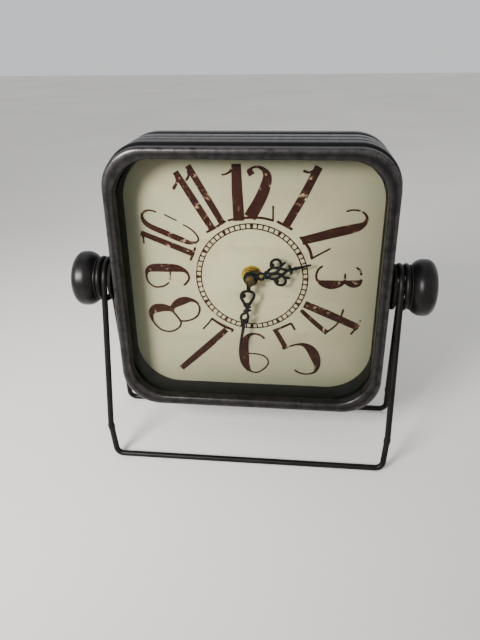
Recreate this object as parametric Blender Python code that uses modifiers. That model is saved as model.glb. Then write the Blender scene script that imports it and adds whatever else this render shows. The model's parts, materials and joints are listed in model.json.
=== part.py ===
"""Square quartz table clock that tilts in a bent-wire stand, as separate pieces.

Sizes are in millimetres and become metres through MM. X runs to the viewer's right, Y away from the
viewer and Z up. The origin is on the surface the clock stands on, under the middle of its box. The stand
is drawn from the floor up; everything in the case is drawn from the tilt axis.
"""

import math

import bmesh
import bpy
from mathutils import Vector

MM = 0.001
GAP = 0.3                                  # clearance between pieces that touch

# Case: a ribbed square band with a rolled bezel in front
BEZEL_HALF = 116.0                         # half the width of the bezel
BEZEL_RADIUS = 33.0
BEZEL_FRONT = -21.0                        # depth of the front face from the tilt axis
BEZEL_REAR = -12.5
LIP_HALF = 107.0                           # half the width of the opening in the bezel
LIP_RADIUS = 31.0
LIP_REAR = -12.0
SHEET = 1.2                                # thickness of the case's sheet steel
BAND_HALF = 118.0                          # the ribs stand 2 mm proud of the bezel
BAND_RADIUS = 35.0
BAND_REAR = 56.0
FLANGE_FRONT = 51.2                        # flange that the back cover is screwed to
FLANGE_REAR = FLANGE_FRONT + SHEET
FLANGE_WIDTH = 11.0
CORNER_STEPS = 6

# Glass, spacer, dial and back
INSERT_HALF = 112.2
INSERT_RADIUS = 29.5
GLASS_THICKNESS = 3.0
SPACER_HALF = 108.4
SPACER_RADIUS = 40.0
DIAL_FRONT = 10.5
DIAL_THICKNESS = 2.0
BACK_HALF = 114.2
BACK_THICKNESS = 2.0
WINDOW_HALF = 45.0
WINDOW_RADIUS = 8.0
SCREW_HOLE = 1.8
SCREW_SHANK = 1.4
SCREW_HEAD = 3.5
SCREW_AT = 102.4                           # screws sit at the four corners, this far along X and Z

# Stand: two foot wires butt-welded to two hairpins that coil round the studs
PIVOT_HEIGHT = 157.1
WIRE_SIDES = 8
WIRE_FLAT = 2.45                           # half the wire's thickness across its flats
WIRE_CORNER = WIRE_FLAT / math.cos(math.pi / WIRE_SIDES)
FOOT_REACH = 46.4                          # foot bars lie this far in front of and behind the tilt axis
FRONT_FOOT_HALF = 120.0
REAR_FOOT_HALF = 134.0
FOOT_BEND = 7.0
WELD_HEIGHT = 29.0
WELD_SWELL = 1.25
FRONT_LEG_X = {-1: 125.0, 1: 122.8}        # distance of each leg from the middle, at the welds
REAR_LEG_X = {-1: 133.0, 1: 133.0}
COIL_RADIUS = 17.5
COIL_X = 124.0                             # middle of the first turn of the coil
COIL_PITCH = 5.7

# Clamp: a stud fixed in the case, a boss, a washer and a knob that screws along the stud
STUD_RADIUS = 3.85
STUD_BORE = 4.15
STUD_HEAD = 7.2
STUD_END = 147.0
BOSS_RADIUS = 19.2
WASHER_RADIUS = 19.0
WASHER_THICKNESS = 1.2
KNOB_RADIUS = 23.8
KNOB_END = 154.4
INSERT_SLEEVE = 6.5

# Hands and their fixings, from the dial forwards, round the shaft
SHAFT_RISE = 3.0                           # the shaft stands this far above the tilt axis
BUSH_RADIUS = 4.0
BUSH_BORE = 2.8
BUSH_HOLE = 4.3
BUSH_FRONT = 6.6
SOCKET_RADIUS = 5.6                        # socket behind the hour hand
HOUR_PIPE = 2.5
HOUR_PIPE_BORE = 1.8
MINUTE_TUBE = 1.5
MINUTE_TUBE_BORE = 0.9
ARBOR = 0.6
HOUR_HAND_LENGTH = 52.5
HOUR_HAND_ANGLE = 74.5                     # clockwise from twelve
HOUR_HAND_DEPTH = 0.6
MINUTE_HAND_LENGTH = 67.0
MINUTE_HAND_ANGLE = 189.3
MINUTE_HAND_DEPTH = -2.2
HAND_THICKNESS = 0.5
CAP_RADIUS = 4.3
CAP_FRONT = -7.4

# Movement: a 56 mm square quartz unit, all depths measured from the tilt axis
TRAY_HALF = 28.0
TRAY_FRONT = 14.1
TRAY_WALL = 1.2
TRAY_REAR = 28.0
BAY_TOP = -11.4                            # the battery bay lies below this height
COVER_THICKNESS = 1.2
BATTERY_RADIUS = 7.25
BATTERY_LENGTH = 50.5
BATTERY_Z = -19.3
BATTERY_Y = 23.0

# Wheels: tooth counts, modules and the places that follow from them
MOTION_MODULE = 0.4
CANNON_TEETH, MINUTE_WHEEL_TEETH = 10, 30
MINUTE_PINION_TEETH, HOUR_WHEEL_TEETH = 8, 32
SETTING_TEETH = 10
TRAIN_MODULE = 0.3
SECONDS_PINION_TEETH, THIRD_WHEEL_TEETH = 8, 60
THIRD_PINION_TEETH, CENTRE_WHEEL_TEETH = 8, 64
INTERMEDIATE_PINION_TEETH, SECONDS_WHEEL_TEETH = 10, 60
ROTOR_MODULE = 0.25
ROTOR_PINION_TEETH, INTERMEDIATE_WHEEL_TEETH = 12, 60
MOTION_SPACING = MOTION_MODULE * (CANNON_TEETH + MINUTE_WHEEL_TEETH) / 2
SETTING_SPACING = MOTION_MODULE * (SETTING_TEETH + MINUTE_WHEEL_TEETH) / 2
THIRD_SPACING = TRAIN_MODULE * (SECONDS_PINION_TEETH + THIRD_WHEEL_TEETH) / 2
CENTRE_MODULE = 2 * THIRD_SPACING / (THIRD_PINION_TEETH + CENTRE_WHEEL_TEETH)
INTERMEDIATE_SPACING = TRAIN_MODULE * (INTERMEDIATE_PINION_TEETH + SECONDS_WHEEL_TEETH) / 2
ROTOR_SPACING = ROTOR_MODULE * (ROTOR_PINION_TEETH + INTERMEDIATE_WHEEL_TEETH) / 2
ROTOR_BEARING = 40.0                       # direction from the intermediate wheel, degrees
MAGNET_RADIUS = 3.0
UP, LEFT, RIGHT, DOWN = 90.0, 180.0, 0.0, 270.0

SCREW_HEAD_REAR = FLANGE_REAR + GAP + BACK_THICKNESS + GAP + 1.8
PIVOT_Y = (FOOT_REACH + WIRE_FLAT - SCREW_HEAD_REAR) / 2     # centres the box on the origin

parts = None
cutters = None
materials = {}


# ---------------------------------------------------------------- helpers

def clear_scene():
    for obj in list(bpy.data.objects):
        bpy.data.objects.remove(obj)


def add_collection(name):
    made = bpy.data.collections.new(name)
    bpy.context.scene.collection.children.link(made)
    return made


def add_material(name, colour, roughness, metallic, alpha=1.0):
    made = bpy.data.materials.new(name)
    made.use_nodes = True
    shader = made.node_tree.nodes["Principled BSDF"]
    shader.inputs["Base Color"].default_value = (*colour, 1.0)
    shader.inputs["Roughness"].default_value = roughness
    shader.inputs["Metallic"].default_value = metallic
    shader.inputs["Alpha"].default_value = alpha
    materials[name] = made


def add_empty(name, place, parent=None):
    made = bpy.data.objects.new(name, None)
    made.empty_display_size = 0.01
    made.location = Vector(place) * MM
    made.parent = parent
    parts.objects.link(made)
    return made


def finish(obj, material, parent):
    """Colours a piece, shades it and hangs it on its body."""
    obj.data.materials.clear()
    obj.data.materials.append(materials[material])
    obj.parent = parent
    if obj.type == "MESH":
        obj.data.shade_smooth()
        obj.data.set_sharp_from_angle(angle=math.radians(35))
    return obj


def add_object(name, data, collection=None):
    made = bpy.data.objects.new(name, data)
    (collection or parts).objects.link(made)
    return made


def rounded_square(half, radius, depth, steps=CORNER_STEPS):
    """Corners of a rounded square that faces along Y, counter-clockwise from the front."""
    points = []
    for corner, (sx, sz) in enumerate(((1, 1), (-1, 1), (-1, -1), (1, -1))):
        for step in range(steps + 1):
            angle = math.radians(90 * (corner + step / steps))
            x = sx * (half - radius) + radius * math.cos(angle)
            z = sz * (half - radius) + radius * math.sin(angle)
            points.append(Vector((x, depth, z)))
    return points


def lofted_frame(name, sections):
    """A closed ring whose cross-section runs through rounded squares of (half, radius, depth)."""
    mesh = bmesh.new()
    rings = [[mesh.verts.new(point * MM) for point in rounded_square(*section)] for section in sections]
    count = len(rings[0])
    for ring, following in zip(rings, rings[1:] + rings[:1]):
        for i in range(count):
            j = (i + 1) % count
            mesh.faces.new((ring[i], following[i], following[j], ring[j]))
    bmesh.ops.recalc_face_normals(mesh, faces=mesh.faces)
    data = bpy.data.meshes.new(name)
    mesh.to_mesh(data)
    mesh.free()
    return add_object(name, data)


def turned(name, profile, direction, steps=16, collection=None):
    """A turned piece. The profile is (radius, distance) pairs, from the far end down the outer side."""
    mesh = bmesh.new()
    verts = [mesh.verts.new((radius * MM, 0, distance * MM)) for radius, distance in profile]
    pairs = list(zip(verts, verts[1:]))
    if min(radius for radius, _ in profile) > 0:
        pairs.append((verts[-1], verts[0]))
    for pair in pairs:
        mesh.edges.new(pair)
    data = bpy.data.meshes.new(name)
    mesh.to_mesh(data)
    mesh.free()
    made = add_object(name, data, collection)
    made.rotation_euler = direction
    screw = made.modifiers.new("turn", "SCREW")
    screw.steps = steps
    screw.render_steps = steps
    screw.use_merge_vertices = True
    screw.merge_threshold = 1e-6
    return made


BACKWARDS = (-math.pi / 2, 0, 0)           # turns a profile's axis from Z to +Y
SIDEWAYS = {1: (0, math.pi / 2, 0), -1: (0, -math.pi / 2, 0)}


def rod(name, radius, near, far, direction, steps=16, collection=None):
    profile = [(0, far), (radius, far), (radius, near), (0, near)]
    return turned(name, profile, direction, steps, collection)


def tube(name, outer, inner, near, far, direction, steps=16):
    profile = [(outer, far), (outer, near), (inner, near), (inner, far)]
    return turned(name, profile, direction, steps)


def to_mesh_object(curve_object):
    """Replaces a curve by the mesh it makes, with its caps joined on, so that it takes Booleans."""
    bpy.context.view_layer.update()
    graph = bpy.context.evaluated_depsgraph_get()
    data = bpy.data.meshes.new_from_object(curve_object.evaluated_get(graph))
    mesh = bmesh.new()
    mesh.from_mesh(data)
    bmesh.ops.remove_doubles(mesh, verts=mesh.verts, dist=1e-7)
    mesh.to_mesh(data)
    mesh.free()
    name = curve_object.name
    made = bpy.data.objects.new(name + "_mesh", data)
    curve_object.users_collection[0].objects.link(made)
    made.matrix_world = curve_object.matrix_world
    bpy.data.objects.remove(curve_object)
    made.name = name
    return made


def plate(name, outlines, near, far, collection=None):
    """A flat piece cut from sheet that faces along Y: its outline in X and Z, then its holes."""
    data = bpy.data.curves.new(name, "CURVE")
    data.dimensions = "2D"
    data.fill_mode = "BOTH"
    data.extrude = (far - near) / 2 * MM
    for outline in outlines:
        spline = data.splines.new("POLY")
        spline.points.add(len(outline) - 1)
        for point, (x, z) in zip(spline.points, outline):
            point.co = (x * MM, z * MM, 0, 1)
        spline.use_cyclic_u = True
    made = add_object(name, data, collection)
    made.location = (0, (near + far) / 2 * MM, 0)
    made.rotation_euler = (math.pi / 2, 0, 0)
    return to_mesh_object(made)


def flat(points):
    return [(point.x, point.z) for point in points]


def circle(radius, steps=24, x=0.0, z=0.0):
    angles = [2 * math.pi * step / steps for step in range(steps)]
    return [(x + radius * math.cos(angle), z + radius * math.sin(angle)) for angle in angles]


def rectangle(left, right, bottom, top):
    return [(left, bottom), (right, bottom), (right, top), (left, top)]


def block(name, corner, opposite, collection=None):
    """A box between two corners."""
    low, high = Vector(corner), Vector(opposite)
    mesh = bmesh.new()
    bmesh.ops.create_cube(mesh, size=1.0)
    bmesh.ops.scale(mesh, vec=(high - low) * MM, verts=mesh.verts)
    bmesh.ops.translate(mesh, vec=(high + low) / 2 * MM, verts=mesh.verts)
    data = bpy.data.meshes.new(name)
    mesh.to_mesh(data)
    mesh.free()
    return add_object(name, data, collection)


def boolean(target, tool, operation, parent):
    """Cuts the target with a hidden tool, or joins the tool to it. Both ride on the same parent."""
    for collection in list(tool.users_collection):
        collection.objects.unlink(tool)
    cutters.objects.link(tool)
    tool.parent = parent
    tool.hide_render = True
    tool.display_type = "WIRE"
    modifier = target.modifiers.new(tool.name, "BOOLEAN")
    modifier.operation = operation
    modifier.object = tool
    return target


def wire(name, path, twist=0.0, swell=None):
    """A bent wire with eight flats along a path of points. swell scales the wire at single points."""
    data = bpy.data.curves.new(name, "CURVE")
    data.dimensions = "3D"
    data.bevel_depth = WIRE_CORNER * MM
    data.bevel_resolution = WIRE_SIDES // 2 - 2
    data.use_fill_caps = True
    spline = data.splines.new("POLY")
    spline.points.add(len(path) - 1)
    for index, (point, place) in enumerate(zip(spline.points, path)):
        point.co = (*(Vector(place) * MM), 1)
        point.radius = (swell or {}).get(index, 1.0)
        point.tilt = math.pi / WIRE_SIDES + twist
    return add_object(name, data)


def bend(corner, before, after, radius, steps=4):
    """Points round a bend at a corner, between the directions of the points before and after it."""
    corner = Vector(corner)
    incoming = (Vector(before) - corner).normalized()
    outgoing = (Vector(after) - corner).normalized()
    half_angle = incoming.angle(outgoing) / 2
    reach = radius / math.tan(half_angle)
    centre = corner + (incoming + outgoing).normalized() * radius / math.sin(half_angle)
    start = corner + incoming * reach - centre
    end = corner + outgoing * reach - centre
    arc = [start.slerp(end, step / steps).normalized() * radius for step in range(steps + 1)]
    return [centre + spoke for spoke in arc]


def gear_outline(teeth, module, bearing, gap_there=False):
    """Pointed teeth on the pitch circle, with a tooth or a gap at the bearing, in degrees."""
    pitch = module * teeth / 2
    tip = pitch + 0.7 * module
    root = pitch - 1.3 * module
    first = math.radians(bearing) + (math.pi / teeth if gap_there else 0.0)
    points = []
    for half_step in range(2 * teeth):
        angle = first + math.pi * half_step / teeth
        radius = root if half_step % 2 else tip
        points.append((radius * math.cos(angle), radius * math.sin(angle)))
    return points


# ---------------------------------------------------------------- stand

def coil_tangent(side_y):
    """Where a straight leg from a foot bar meets the coil, seen from the side, from the pivot."""
    foot = Vector((side_y * FOOT_REACH, WIRE_FLAT - PIVOT_HEIGHT))
    distance = foot.length
    swing = math.acos(COIL_RADIUS / distance)
    towards_foot = math.atan2(foot.y, foot.x)
    angle = towards_foot + side_y * swing
    return COIL_RADIUS * math.cos(angle), COIL_RADIUS * math.sin(angle)


def leg_point(side, side_y, x_weld, x_top, height):
    """A point on a leg at a height, on the straight line from the foot bar to the coil."""
    top_y, top_z = coil_tangent(side_y)
    top_z += PIVOT_HEIGHT
    share = (height - WIRE_FLAT) / (top_z - WIRE_FLAT)
    y = side_y * FOOT_REACH + share * (top_y - side_y * FOOT_REACH)
    climb = (height - WELD_HEIGHT) / (top_z - WELD_HEIGHT)
    return Vector((side * (x_weld + climb * (x_top - x_weld)), y + PIVOT_Y, height))


def foot_wire(name, side_y, x_foot, x_weld, parent):
    """A U of wire: one leg stub, the bar on the floor, and the other stub, swollen at the welds."""
    def stub(side, height):
        return leg_point(side, side_y, x_weld[side], x_weld[side], height)

    left_corner = Vector((-x_foot, side_y * FOOT_REACH + PIVOT_Y, WIRE_FLAT))
    right_corner = Vector((x_foot, side_y * FOOT_REACH + PIVOT_Y, WIRE_FLAT))
    left_end = [stub(-1, WELD_HEIGHT + dz) for dz in (-GAP, -1.2, -2.6, -4.0)]
    right_end = [stub(1, WELD_HEIGHT + dz) for dz in (-4.0, -2.6, -1.2, -GAP)]
    path = left_end
    path += bend(left_corner, left_end[-1], right_corner, FOOT_BEND)
    path += bend(right_corner, left_corner, right_end[0], FOOT_BEND)
    path += right_end
    last = len(path) - 1
    swell = {0: 1.15, 1: WELD_SWELL, 2: WELD_SWELL, last - 2: WELD_SWELL, last - 1: WELD_SWELL, last: 1.15}
    slope = stub(1, WELD_HEIGHT) - stub(1, 0)
    lean = math.atan2(slope.y, slope.z)     # turns a flat of the bar to face straight down
    finish(wire(name, path, lean, swell), "wire_black", parent)


def hairpin_wire(name, side, parent):
    """Front leg, a turn and a half round the stud, and rear leg. The coil steps outwards under the stud."""
    front_y, front_z = coil_tangent(-1)
    start = math.atan2(front_z, front_y)
    rear_y, rear_z = coil_tangent(1)
    over_the_top = start - math.atan2(rear_z, rear_y)
    sweep = over_the_top + 2 * math.pi
    steps = 26
    coil = []
    for step in range(steps + 1):
        turned_by = sweep * step / steps
        angle = start - turned_by
        share = (turned_by - over_the_top) / (2 * math.pi - over_the_top)
        share = min(max(share, 0.0), 1.0)
        x = COIL_X + COIL_PITCH * share * share * (3 - 2 * share)
        y = COIL_RADIUS * math.cos(angle) + PIVOT_Y
        z = COIL_RADIUS * math.sin(angle) + PIVOT_HEIGHT
        coil.append(Vector((side * x, y, z)))
    front_foot = leg_point(side, -1, FRONT_LEG_X[side], COIL_X, WELD_HEIGHT + GAP)
    rear_foot = leg_point(side, 1, REAR_LEG_X[side], COIL_X + COIL_PITCH, WELD_HEIGHT + GAP)
    hairpin = wire(name, [front_foot] + coil + [rear_foot])
    hairpin.modifiers.new("triangles", "TRIANGULATE")   # the flats of the coil are twisted
    finish(hairpin, "wire_black", parent)


def build_stand(body):
    foot_wire("front_foot_wire", -1, FRONT_FOOT_HALF, FRONT_LEG_X, body)
    foot_wire("rear_foot_wire", 1, REAR_FOOT_HALF, REAR_LEG_X, body)
    hairpin_wire("left_hairpin_wire", -1, body)
    hairpin_wire("right_hairpin_wire", 1, body)


# ---------------------------------------------------------------- case

def build_bezel(body):
    """Sheet steel rolled to a channel: open at the back, rounded in front."""
    outside = [
        (BEZEL_HALF, BEZEL_RADIUS, BEZEL_REAR),
        (BEZEL_HALF, BEZEL_RADIUS, BEZEL_FRONT + 2.6),
        (BEZEL_HALF - 0.8, BEZEL_RADIUS, BEZEL_FRONT + 0.8),
        (BEZEL_HALF - 2.6, BEZEL_RADIUS, BEZEL_FRONT),
        (LIP_HALF + 2.0, LIP_RADIUS, BEZEL_FRONT),
        (LIP_HALF + 0.6, LIP_RADIUS, BEZEL_FRONT + 0.6),
        (LIP_HALF, LIP_RADIUS, BEZEL_FRONT + 2.0),
        (LIP_HALF, LIP_RADIUS, LIP_REAR),
    ]
    inside = [
        (LIP_HALF + SHEET, LIP_RADIUS, LIP_REAR),
        (LIP_HALF + SHEET, LIP_RADIUS, BEZEL_FRONT + 2.2),
        (LIP_HALF + 2.2, LIP_RADIUS, BEZEL_FRONT + SHEET),
        (BEZEL_HALF - 2.8, BEZEL_RADIUS, BEZEL_FRONT + SHEET),
        (BEZEL_HALF - SHEET, BEZEL_RADIUS, BEZEL_FRONT + 2.8),
        (BEZEL_HALF - SHEET, BEZEL_RADIUS, BEZEL_REAR),
    ]
    finish(lofted_frame("front_bezel", outside + inside), "case_steel", body)


def band_section(inset, depth):
    return (BAND_HALF - inset, BAND_RADIUS - inset, depth)


def build_band(body):
    """Ribbed band: pairs of how far the skin lies inside the rib tops, and at what depth."""
    skin = [(4.0, -16.0), (4.0, -10.5), (1.0, -8.0), (0.0, -5.5)]
    for groove in (6.5, 21.0):
        skin += [(0.0, groove - 2.0), (1.3, groove), (0.0, groove + 2.0)]
    skin += [(0.0, 34.0), (3.0, 37.5), (3.0, 40.5), (0.0, 44.0), (0.0, 53.0), (2.0, BAND_REAR)]
    lining = [(inset + SHEET, depth) for inset, depth in reversed(skin) if depth < FLANGE_FRONT]
    flange = [
        (2.0 + SHEET, BAND_REAR),
        (SHEET, FLANGE_REAR),
        (FLANGE_WIDTH, FLANGE_REAR),
        (FLANGE_WIDTH, FLANGE_FRONT),
        (SHEET, FLANGE_FRONT),
    ]
    band = lofted_frame("case_band", [band_section(*pair) for pair in skin + flange + lining])
    hole = turned(
        "stud_hole_cutter",
        [(0, 130), (STUD_BORE, 130), (STUD_BORE, -130), (0, -130)],
        SIDEWAYS[1],
        16,
        cutters,
    )
    boolean(band, hole, "DIFFERENCE", body)
    for number, (x, z) in enumerate(screw_places(), 1):
        tool = rod(f"flange_hole_cutter_{number}", SCREW_HOLE, 48, 55, BACKWARDS, 12, cutters)
        tool.location = (x * MM, 0, z * MM)
        boolean(band, tool, "DIFFERENCE", body)
    finish(band, "case_steel", body)


def screw_places():
    return [(sx * SCREW_AT, sz * SCREW_AT) for sx in (-1, 1) for sz in (1, -1)]


def build_glass_and_dial(body):
    glass_front = LIP_REAR + GAP
    glass_rear = glass_front + GLASS_THICKNESS
    outline = flat(rounded_square(INSERT_HALF, INSERT_RADIUS, 0))
    finish(plate("glass_pane", [outline], glass_front, glass_rear), "clear_glass", body)

    front, rear = glass_rear + GAP, DIAL_FRONT - GAP
    spacer = [
        (INSERT_HALF, INSERT_RADIUS, front),
        (SPACER_HALF, SPACER_RADIUS, front),
        (SPACER_HALF, SPACER_RADIUS, rear),
        (INSERT_HALF, INSERT_RADIUS, rear),
    ]
    finish(lofted_frame("dial_spacer", spacer), "spacer_black", body)

    dial = plate("dial_plate", [outline, circle(BUSH_HOLE, z=SHAFT_RISE)], DIAL_FRONT, DIAL_FRONT + DIAL_THICKNESS)
    finish(dial, "dial_paper", body)


def build_back(body):
    near = FLANGE_REAR + GAP
    far = near + BACK_THICKNESS
    outlines = [
        flat(rounded_square(BACK_HALF, BAND_RADIUS - 3.0, 0)),
        flat(rounded_square(WINDOW_HALF, WINDOW_RADIUS, 0, 4)),
    ]
    outlines += [circle(SCREW_HOLE, 12, x, z) for x, z in screw_places()]
    finish(plate("back_cover", outlines, near, far), "back_board", body)

    head = far + GAP
    profile = [
        (0, SCREW_HEAD_REAR),
        (SCREW_HEAD * 0.6, SCREW_HEAD_REAR),
        (SCREW_HEAD, head + 0.9),
        (SCREW_HEAD, head),
        (SCREW_SHANK, head),
        (SCREW_SHANK, FLANGE_FRONT - 2.2),
        (0, FLANGE_FRONT - 2.8),
    ]
    for number, (x, z) in enumerate(screw_places(), 1):
        screw = finish(turned(f"back_screw_{number}", profile, BACKWARDS, 12), "zinc_screw", body)
        screw.location = (x * MM, 0, z * MM)


def build_pivots(body):
    for side, name in ((-1, "left"), (1, "right")):
        head = BAND_HALF - SHEET - 1.6
        stud = [
            (0, STUD_END),
            (STUD_RADIUS - 0.6, STUD_END),
            (STUD_RADIUS, STUD_END - 0.8),
            (STUD_RADIUS, head),
            (STUD_HEAD, head),
            (STUD_HEAD, INSERT_HALF + 0.5),
            (0, INSERT_HALF + 0.5),
        ]
        finish(turned(f"{name}_stud", stud, SIDEWAYS[side]), "stud_steel", body)
        near, far = BAND_HALF + GAP, COIL_X - WIRE_CORNER - GAP
        boss = [
            (BOSS_RADIUS - 0.7, far),
            (BOSS_RADIUS, far - 0.7),
            (BOSS_RADIUS, near),
            (STUD_BORE, near),
            (STUD_BORE, far),
        ]
        finish(turned(f"{name}_boss", boss, SIDEWAYS[side], 24), "boss_black", body)


# ---------------------------------------------------------------- clamp knobs

def build_knob(side, name, washer_body, knob_body):
    near = COIL_X + COIL_PITCH + WIRE_CORNER + GAP
    far = near + WASHER_THICKNESS
    washer = tube(f"{name}_clamp_washer", WASHER_RADIUS, STUD_BORE, near, far, SIDEWAYS[side], 24)
    finish(washer, "wire_black", washer_body)

    base = far + GAP
    sleeve_far = KNOB_END - 4.0
    head = [
        (0, KNOB_END),
        (14.0, KNOB_END - 0.4),
        (19.0, KNOB_END - 1.8),
        (22.4, KNOB_END - 4.4),
        (KNOB_RADIUS, KNOB_END - 8.2),
        (KNOB_RADIUS, base + 7.6),
        (22.6, base + 3.8),
        (20.6, base + 1.4),
        (WASHER_RADIUS, base),
        (INSERT_SLEEVE + GAP, base),
        (INSERT_SLEEVE + GAP, sleeve_far + GAP),
        (0, sleeve_far + GAP),
    ]
    finish(turned(f"{name}_clamp_knob", head, SIDEWAYS[side], 28), "knob_steel", knob_body)
    sleeve = tube(f"{name}_knob_insert", INSERT_SLEEVE, STUD_BORE, base + 0.5, sleeve_far, SIDEWAYS[side], 16)
    finish(sleeve, "brass", knob_body)


# ---------------------------------------------------------------- hands

def hand_outline(length, hub, swellings, angle):
    """Half widths at shares of the length, mirrored about it and swung clockwise from twelve."""
    side = []
    for bearing in range(180, 0, -30):
        radians = math.radians(bearing)
        side.append((hub * math.sin(radians), hub * math.cos(radians)))
    side += [(half_width, share * length) for share, half_width in swellings]
    other_side = [(-half_width, along) for half_width, along in reversed(side[1:])]
    cos, sin = math.cos(math.radians(angle)), math.sin(math.radians(angle))
    outline = side + [(0.0, length)] + other_side
    return [(across * cos + along * sin, along * cos - across * sin) for across, along in outline]


def build_hands(minute_body, hour_body):
    hour = hand_outline(
        HOUR_HAND_LENGTH,
        6.5,
        [(0.2, 0.9), (0.3, 3.0), (0.38, 1.2), (0.5, 8.0), (0.62, 1.6), (0.7, 3.2), (0.78, 1.0)],
        HOUR_HAND_ANGLE,
    )
    bore = circle(HOUR_PIPE + GAP, 16)
    rear = HOUR_HAND_DEPTH + HAND_THICKNESS
    hand = plate("hour_hand", [hour, bore], HOUR_HAND_DEPTH, rear)
    add_pipe(hand, SOCKET_RADIUS, HOUR_PIPE + GAP, rear - 0.2, BUSH_FRONT - GAP, hour_body)
    finish(hand, "hand_black", hour_body)

    minute = hand_outline(
        MINUTE_HAND_LENGTH,
        5.0,
        [(0.16, 0.9), (0.3, 4.6), (0.4, 0.9), (0.52, 2.6), (0.6, 0.9), (0.68, 3.0), (0.76, 0.8)],
        MINUTE_HAND_ANGLE,
    )
    bore = circle(MINUTE_TUBE + GAP, 16)
    hand = plate("minute_hand", [minute, bore], MINUTE_HAND_DEPTH, MINUTE_HAND_DEPTH + HAND_THICKNESS)
    finish(hand, "hand_black", minute_body)

    far = MINUTE_HAND_DEPTH - GAP
    cup = [
        (0, CAP_FRONT + 0.9),
        (MINUTE_TUBE + GAP, CAP_FRONT + 0.9),
        (MINUTE_TUBE + GAP, far),
        (CAP_RADIUS, far),
        (CAP_RADIUS, CAP_FRONT + 1.0),
        (CAP_RADIUS - 1.4, CAP_FRONT + 0.3),
        (0, CAP_FRONT),
    ]
    finish(turned("cap_nut", cup, BACKWARDS, 16), "brass", minute_body)


def build_dial_fixings(body):
    near = TRAY_FRONT + TRAY_WALL + GAP
    bush = [
        (5.5, near + 0.8),
        (5.5, near),
        (BUSH_RADIUS, near),
        (BUSH_RADIUS, BUSH_FRONT),
        (BUSH_BORE, BUSH_FRONT),
        (BUSH_BORE, near + 0.8),
    ]
    finish(turned("threaded_bush", bush, BACKWARDS), "brass", body)
    washer = tube("brass_washer", 8.9, BUSH_HOLE, 9.4, DIAL_FRONT - GAP, BACKWARDS)
    finish(washer, "brass", body)
    nut = plate("dial_nut", [circle(6.6, 6), circle(BUSH_HOLE, 16)], 7.2, 9.1)
    finish(nut, "brass", body)
    rear_of_dial = DIAL_FRONT + DIAL_THICKNESS
    rubber = tube("rubber_washer", 8.0, BUSH_HOLE, rear_of_dial + GAP, TRAY_FRONT - GAP, BACKWARDS)
    finish(rubber, "rubber_black", body)


# ---------------------------------------------------------------- movement housing and motor

def build_movement_housing(body):
    half, wall = TRAY_HALF, TRAY_WALL
    tray = block("movement_tray", (-half, TRAY_FRONT, -half), (half, TRAY_REAR, half))
    floor, open_rear = TRAY_FRONT + wall, TRAY_REAR + 2
    inner = half - wall
    chamber = block("chamber_cutter", (-inner, floor, BAY_TOP + wall), (inner, open_rear, inner))
    bay = block("bay_cutter", (-inner, floor, -inner), (inner, open_rear, BAY_TOP))
    boolean(tray, chamber, "DIFFERENCE", body)
    boolean(tray, bay, "DIFFERENCE", body)
    hole = rod("bush_hole_cutter", BUSH_HOLE, TRAY_FRONT - 1, floor + 1, BACKWARDS, 24, cutters)
    boolean(tray, hole, "DIFFERENCE", body)
    finish(tray, "movement_plastic", body)

    near = TRAY_REAR + GAP
    setting_z = MOTION_SPACING + SETTING_SPACING
    outlines = [rectangle(-half, half, BAY_TOP, half), circle(1.3 + GAP, 16, 0, setting_z)]
    cover = plate("movement_cover", outlines, near, near + COVER_THICKNESS)
    finish(cover, "movement_plastic", body)


def build_motor(body):
    """Coil, stator plate, circuit board, crystal and the two battery contacts."""
    rotor_x, rotor_z = rotor_place()
    hole = circle(MAGNET_RADIUS + 0.5, 20, rotor_x, rotor_z)
    outline = [(3.5, 22.2), (3.5, 10.0), (12.6, 10.0), (12.6, -0.5), (25.5, -0.5), (25.5, 22.2)]
    window = rectangle(6.0, 23.0, 12.5, 19.8)
    finish(plate("stator_plate", [outline, window, hole], 22.5, 23.2), "plain_steel", body)

    coil = tube("drive_coil", 4.2, 1.7, 7.5, 20.5, SIDEWAYS[1], 20)
    coil.location = (0, 22.85 * MM, 21.0 * MM)
    finish(coil, "copper", body)

    board = plate("circuit_board", [rectangle(-26.0, -7.0, 12.5, 26.0)], 24.0, 25.0)
    finish(board, "board_green", body)
    crystal = rod("quartz_crystal", 1.2, -24.0, -17.0, SIDEWAYS[1], 12)
    crystal.location = (0, 22.4 * MM, 15.5 * MM)
    finish(crystal, "plain_steel", body)

    reach = BATTERY_LENGTH / 2 + GAP
    low, high = BATTERY_Z - 4.5, BATTERY_Z + 4.5
    positive = block("positive_contact", (reach, 17.0, low), (reach + 0.5, 27.0, high))
    finish(positive, "plain_steel", body)
    negative = block("negative_contact", (-reach - 0.9, 17.0, low), (-reach, 27.0, high))
    finish(negative, "plain_steel", body)


def build_battery(body):
    end = BATTERY_LENGTH / 2
    cell = [
        (0, end),
        (2.75, end),
        (2.75, end - 1.0),
        (BATTERY_RADIUS - 0.5, end - 1.0),
        (BATTERY_RADIUS, end - 1.6),
        (BATTERY_RADIUS, -end),
        (0, -end),
    ]
    finish(turned("battery_cell", cell, SIDEWAYS[1], 20), "battery_sleeve", body)


# ---------------------------------------------------------------- wheels

def rotor_place():
    angle = math.radians(ROTOR_BEARING)
    return (
        INTERMEDIATE_SPACING + ROTOR_SPACING * math.cos(angle),
        ROTOR_SPACING * math.sin(angle),
    )


def add_arbor(target, radius, near, far, body):
    tool = rod(target.name + "_arbor", radius, near, far, BACKWARDS, 12, cutters)
    return boolean(target, tool, "UNION", body)


def add_pinion(target, outlines, near, far, body):
    tool = plate(target.name + "_pinion", outlines, near, far, cutters)
    return boolean(target, tool, "UNION", body)


def add_pipe(target, outer, inner, near, far, body):
    tool = tube(target.name + "_pipe", outer, inner, near, far, BACKWARDS, 16)
    return boolean(target, tool, "UNION", body)


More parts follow.
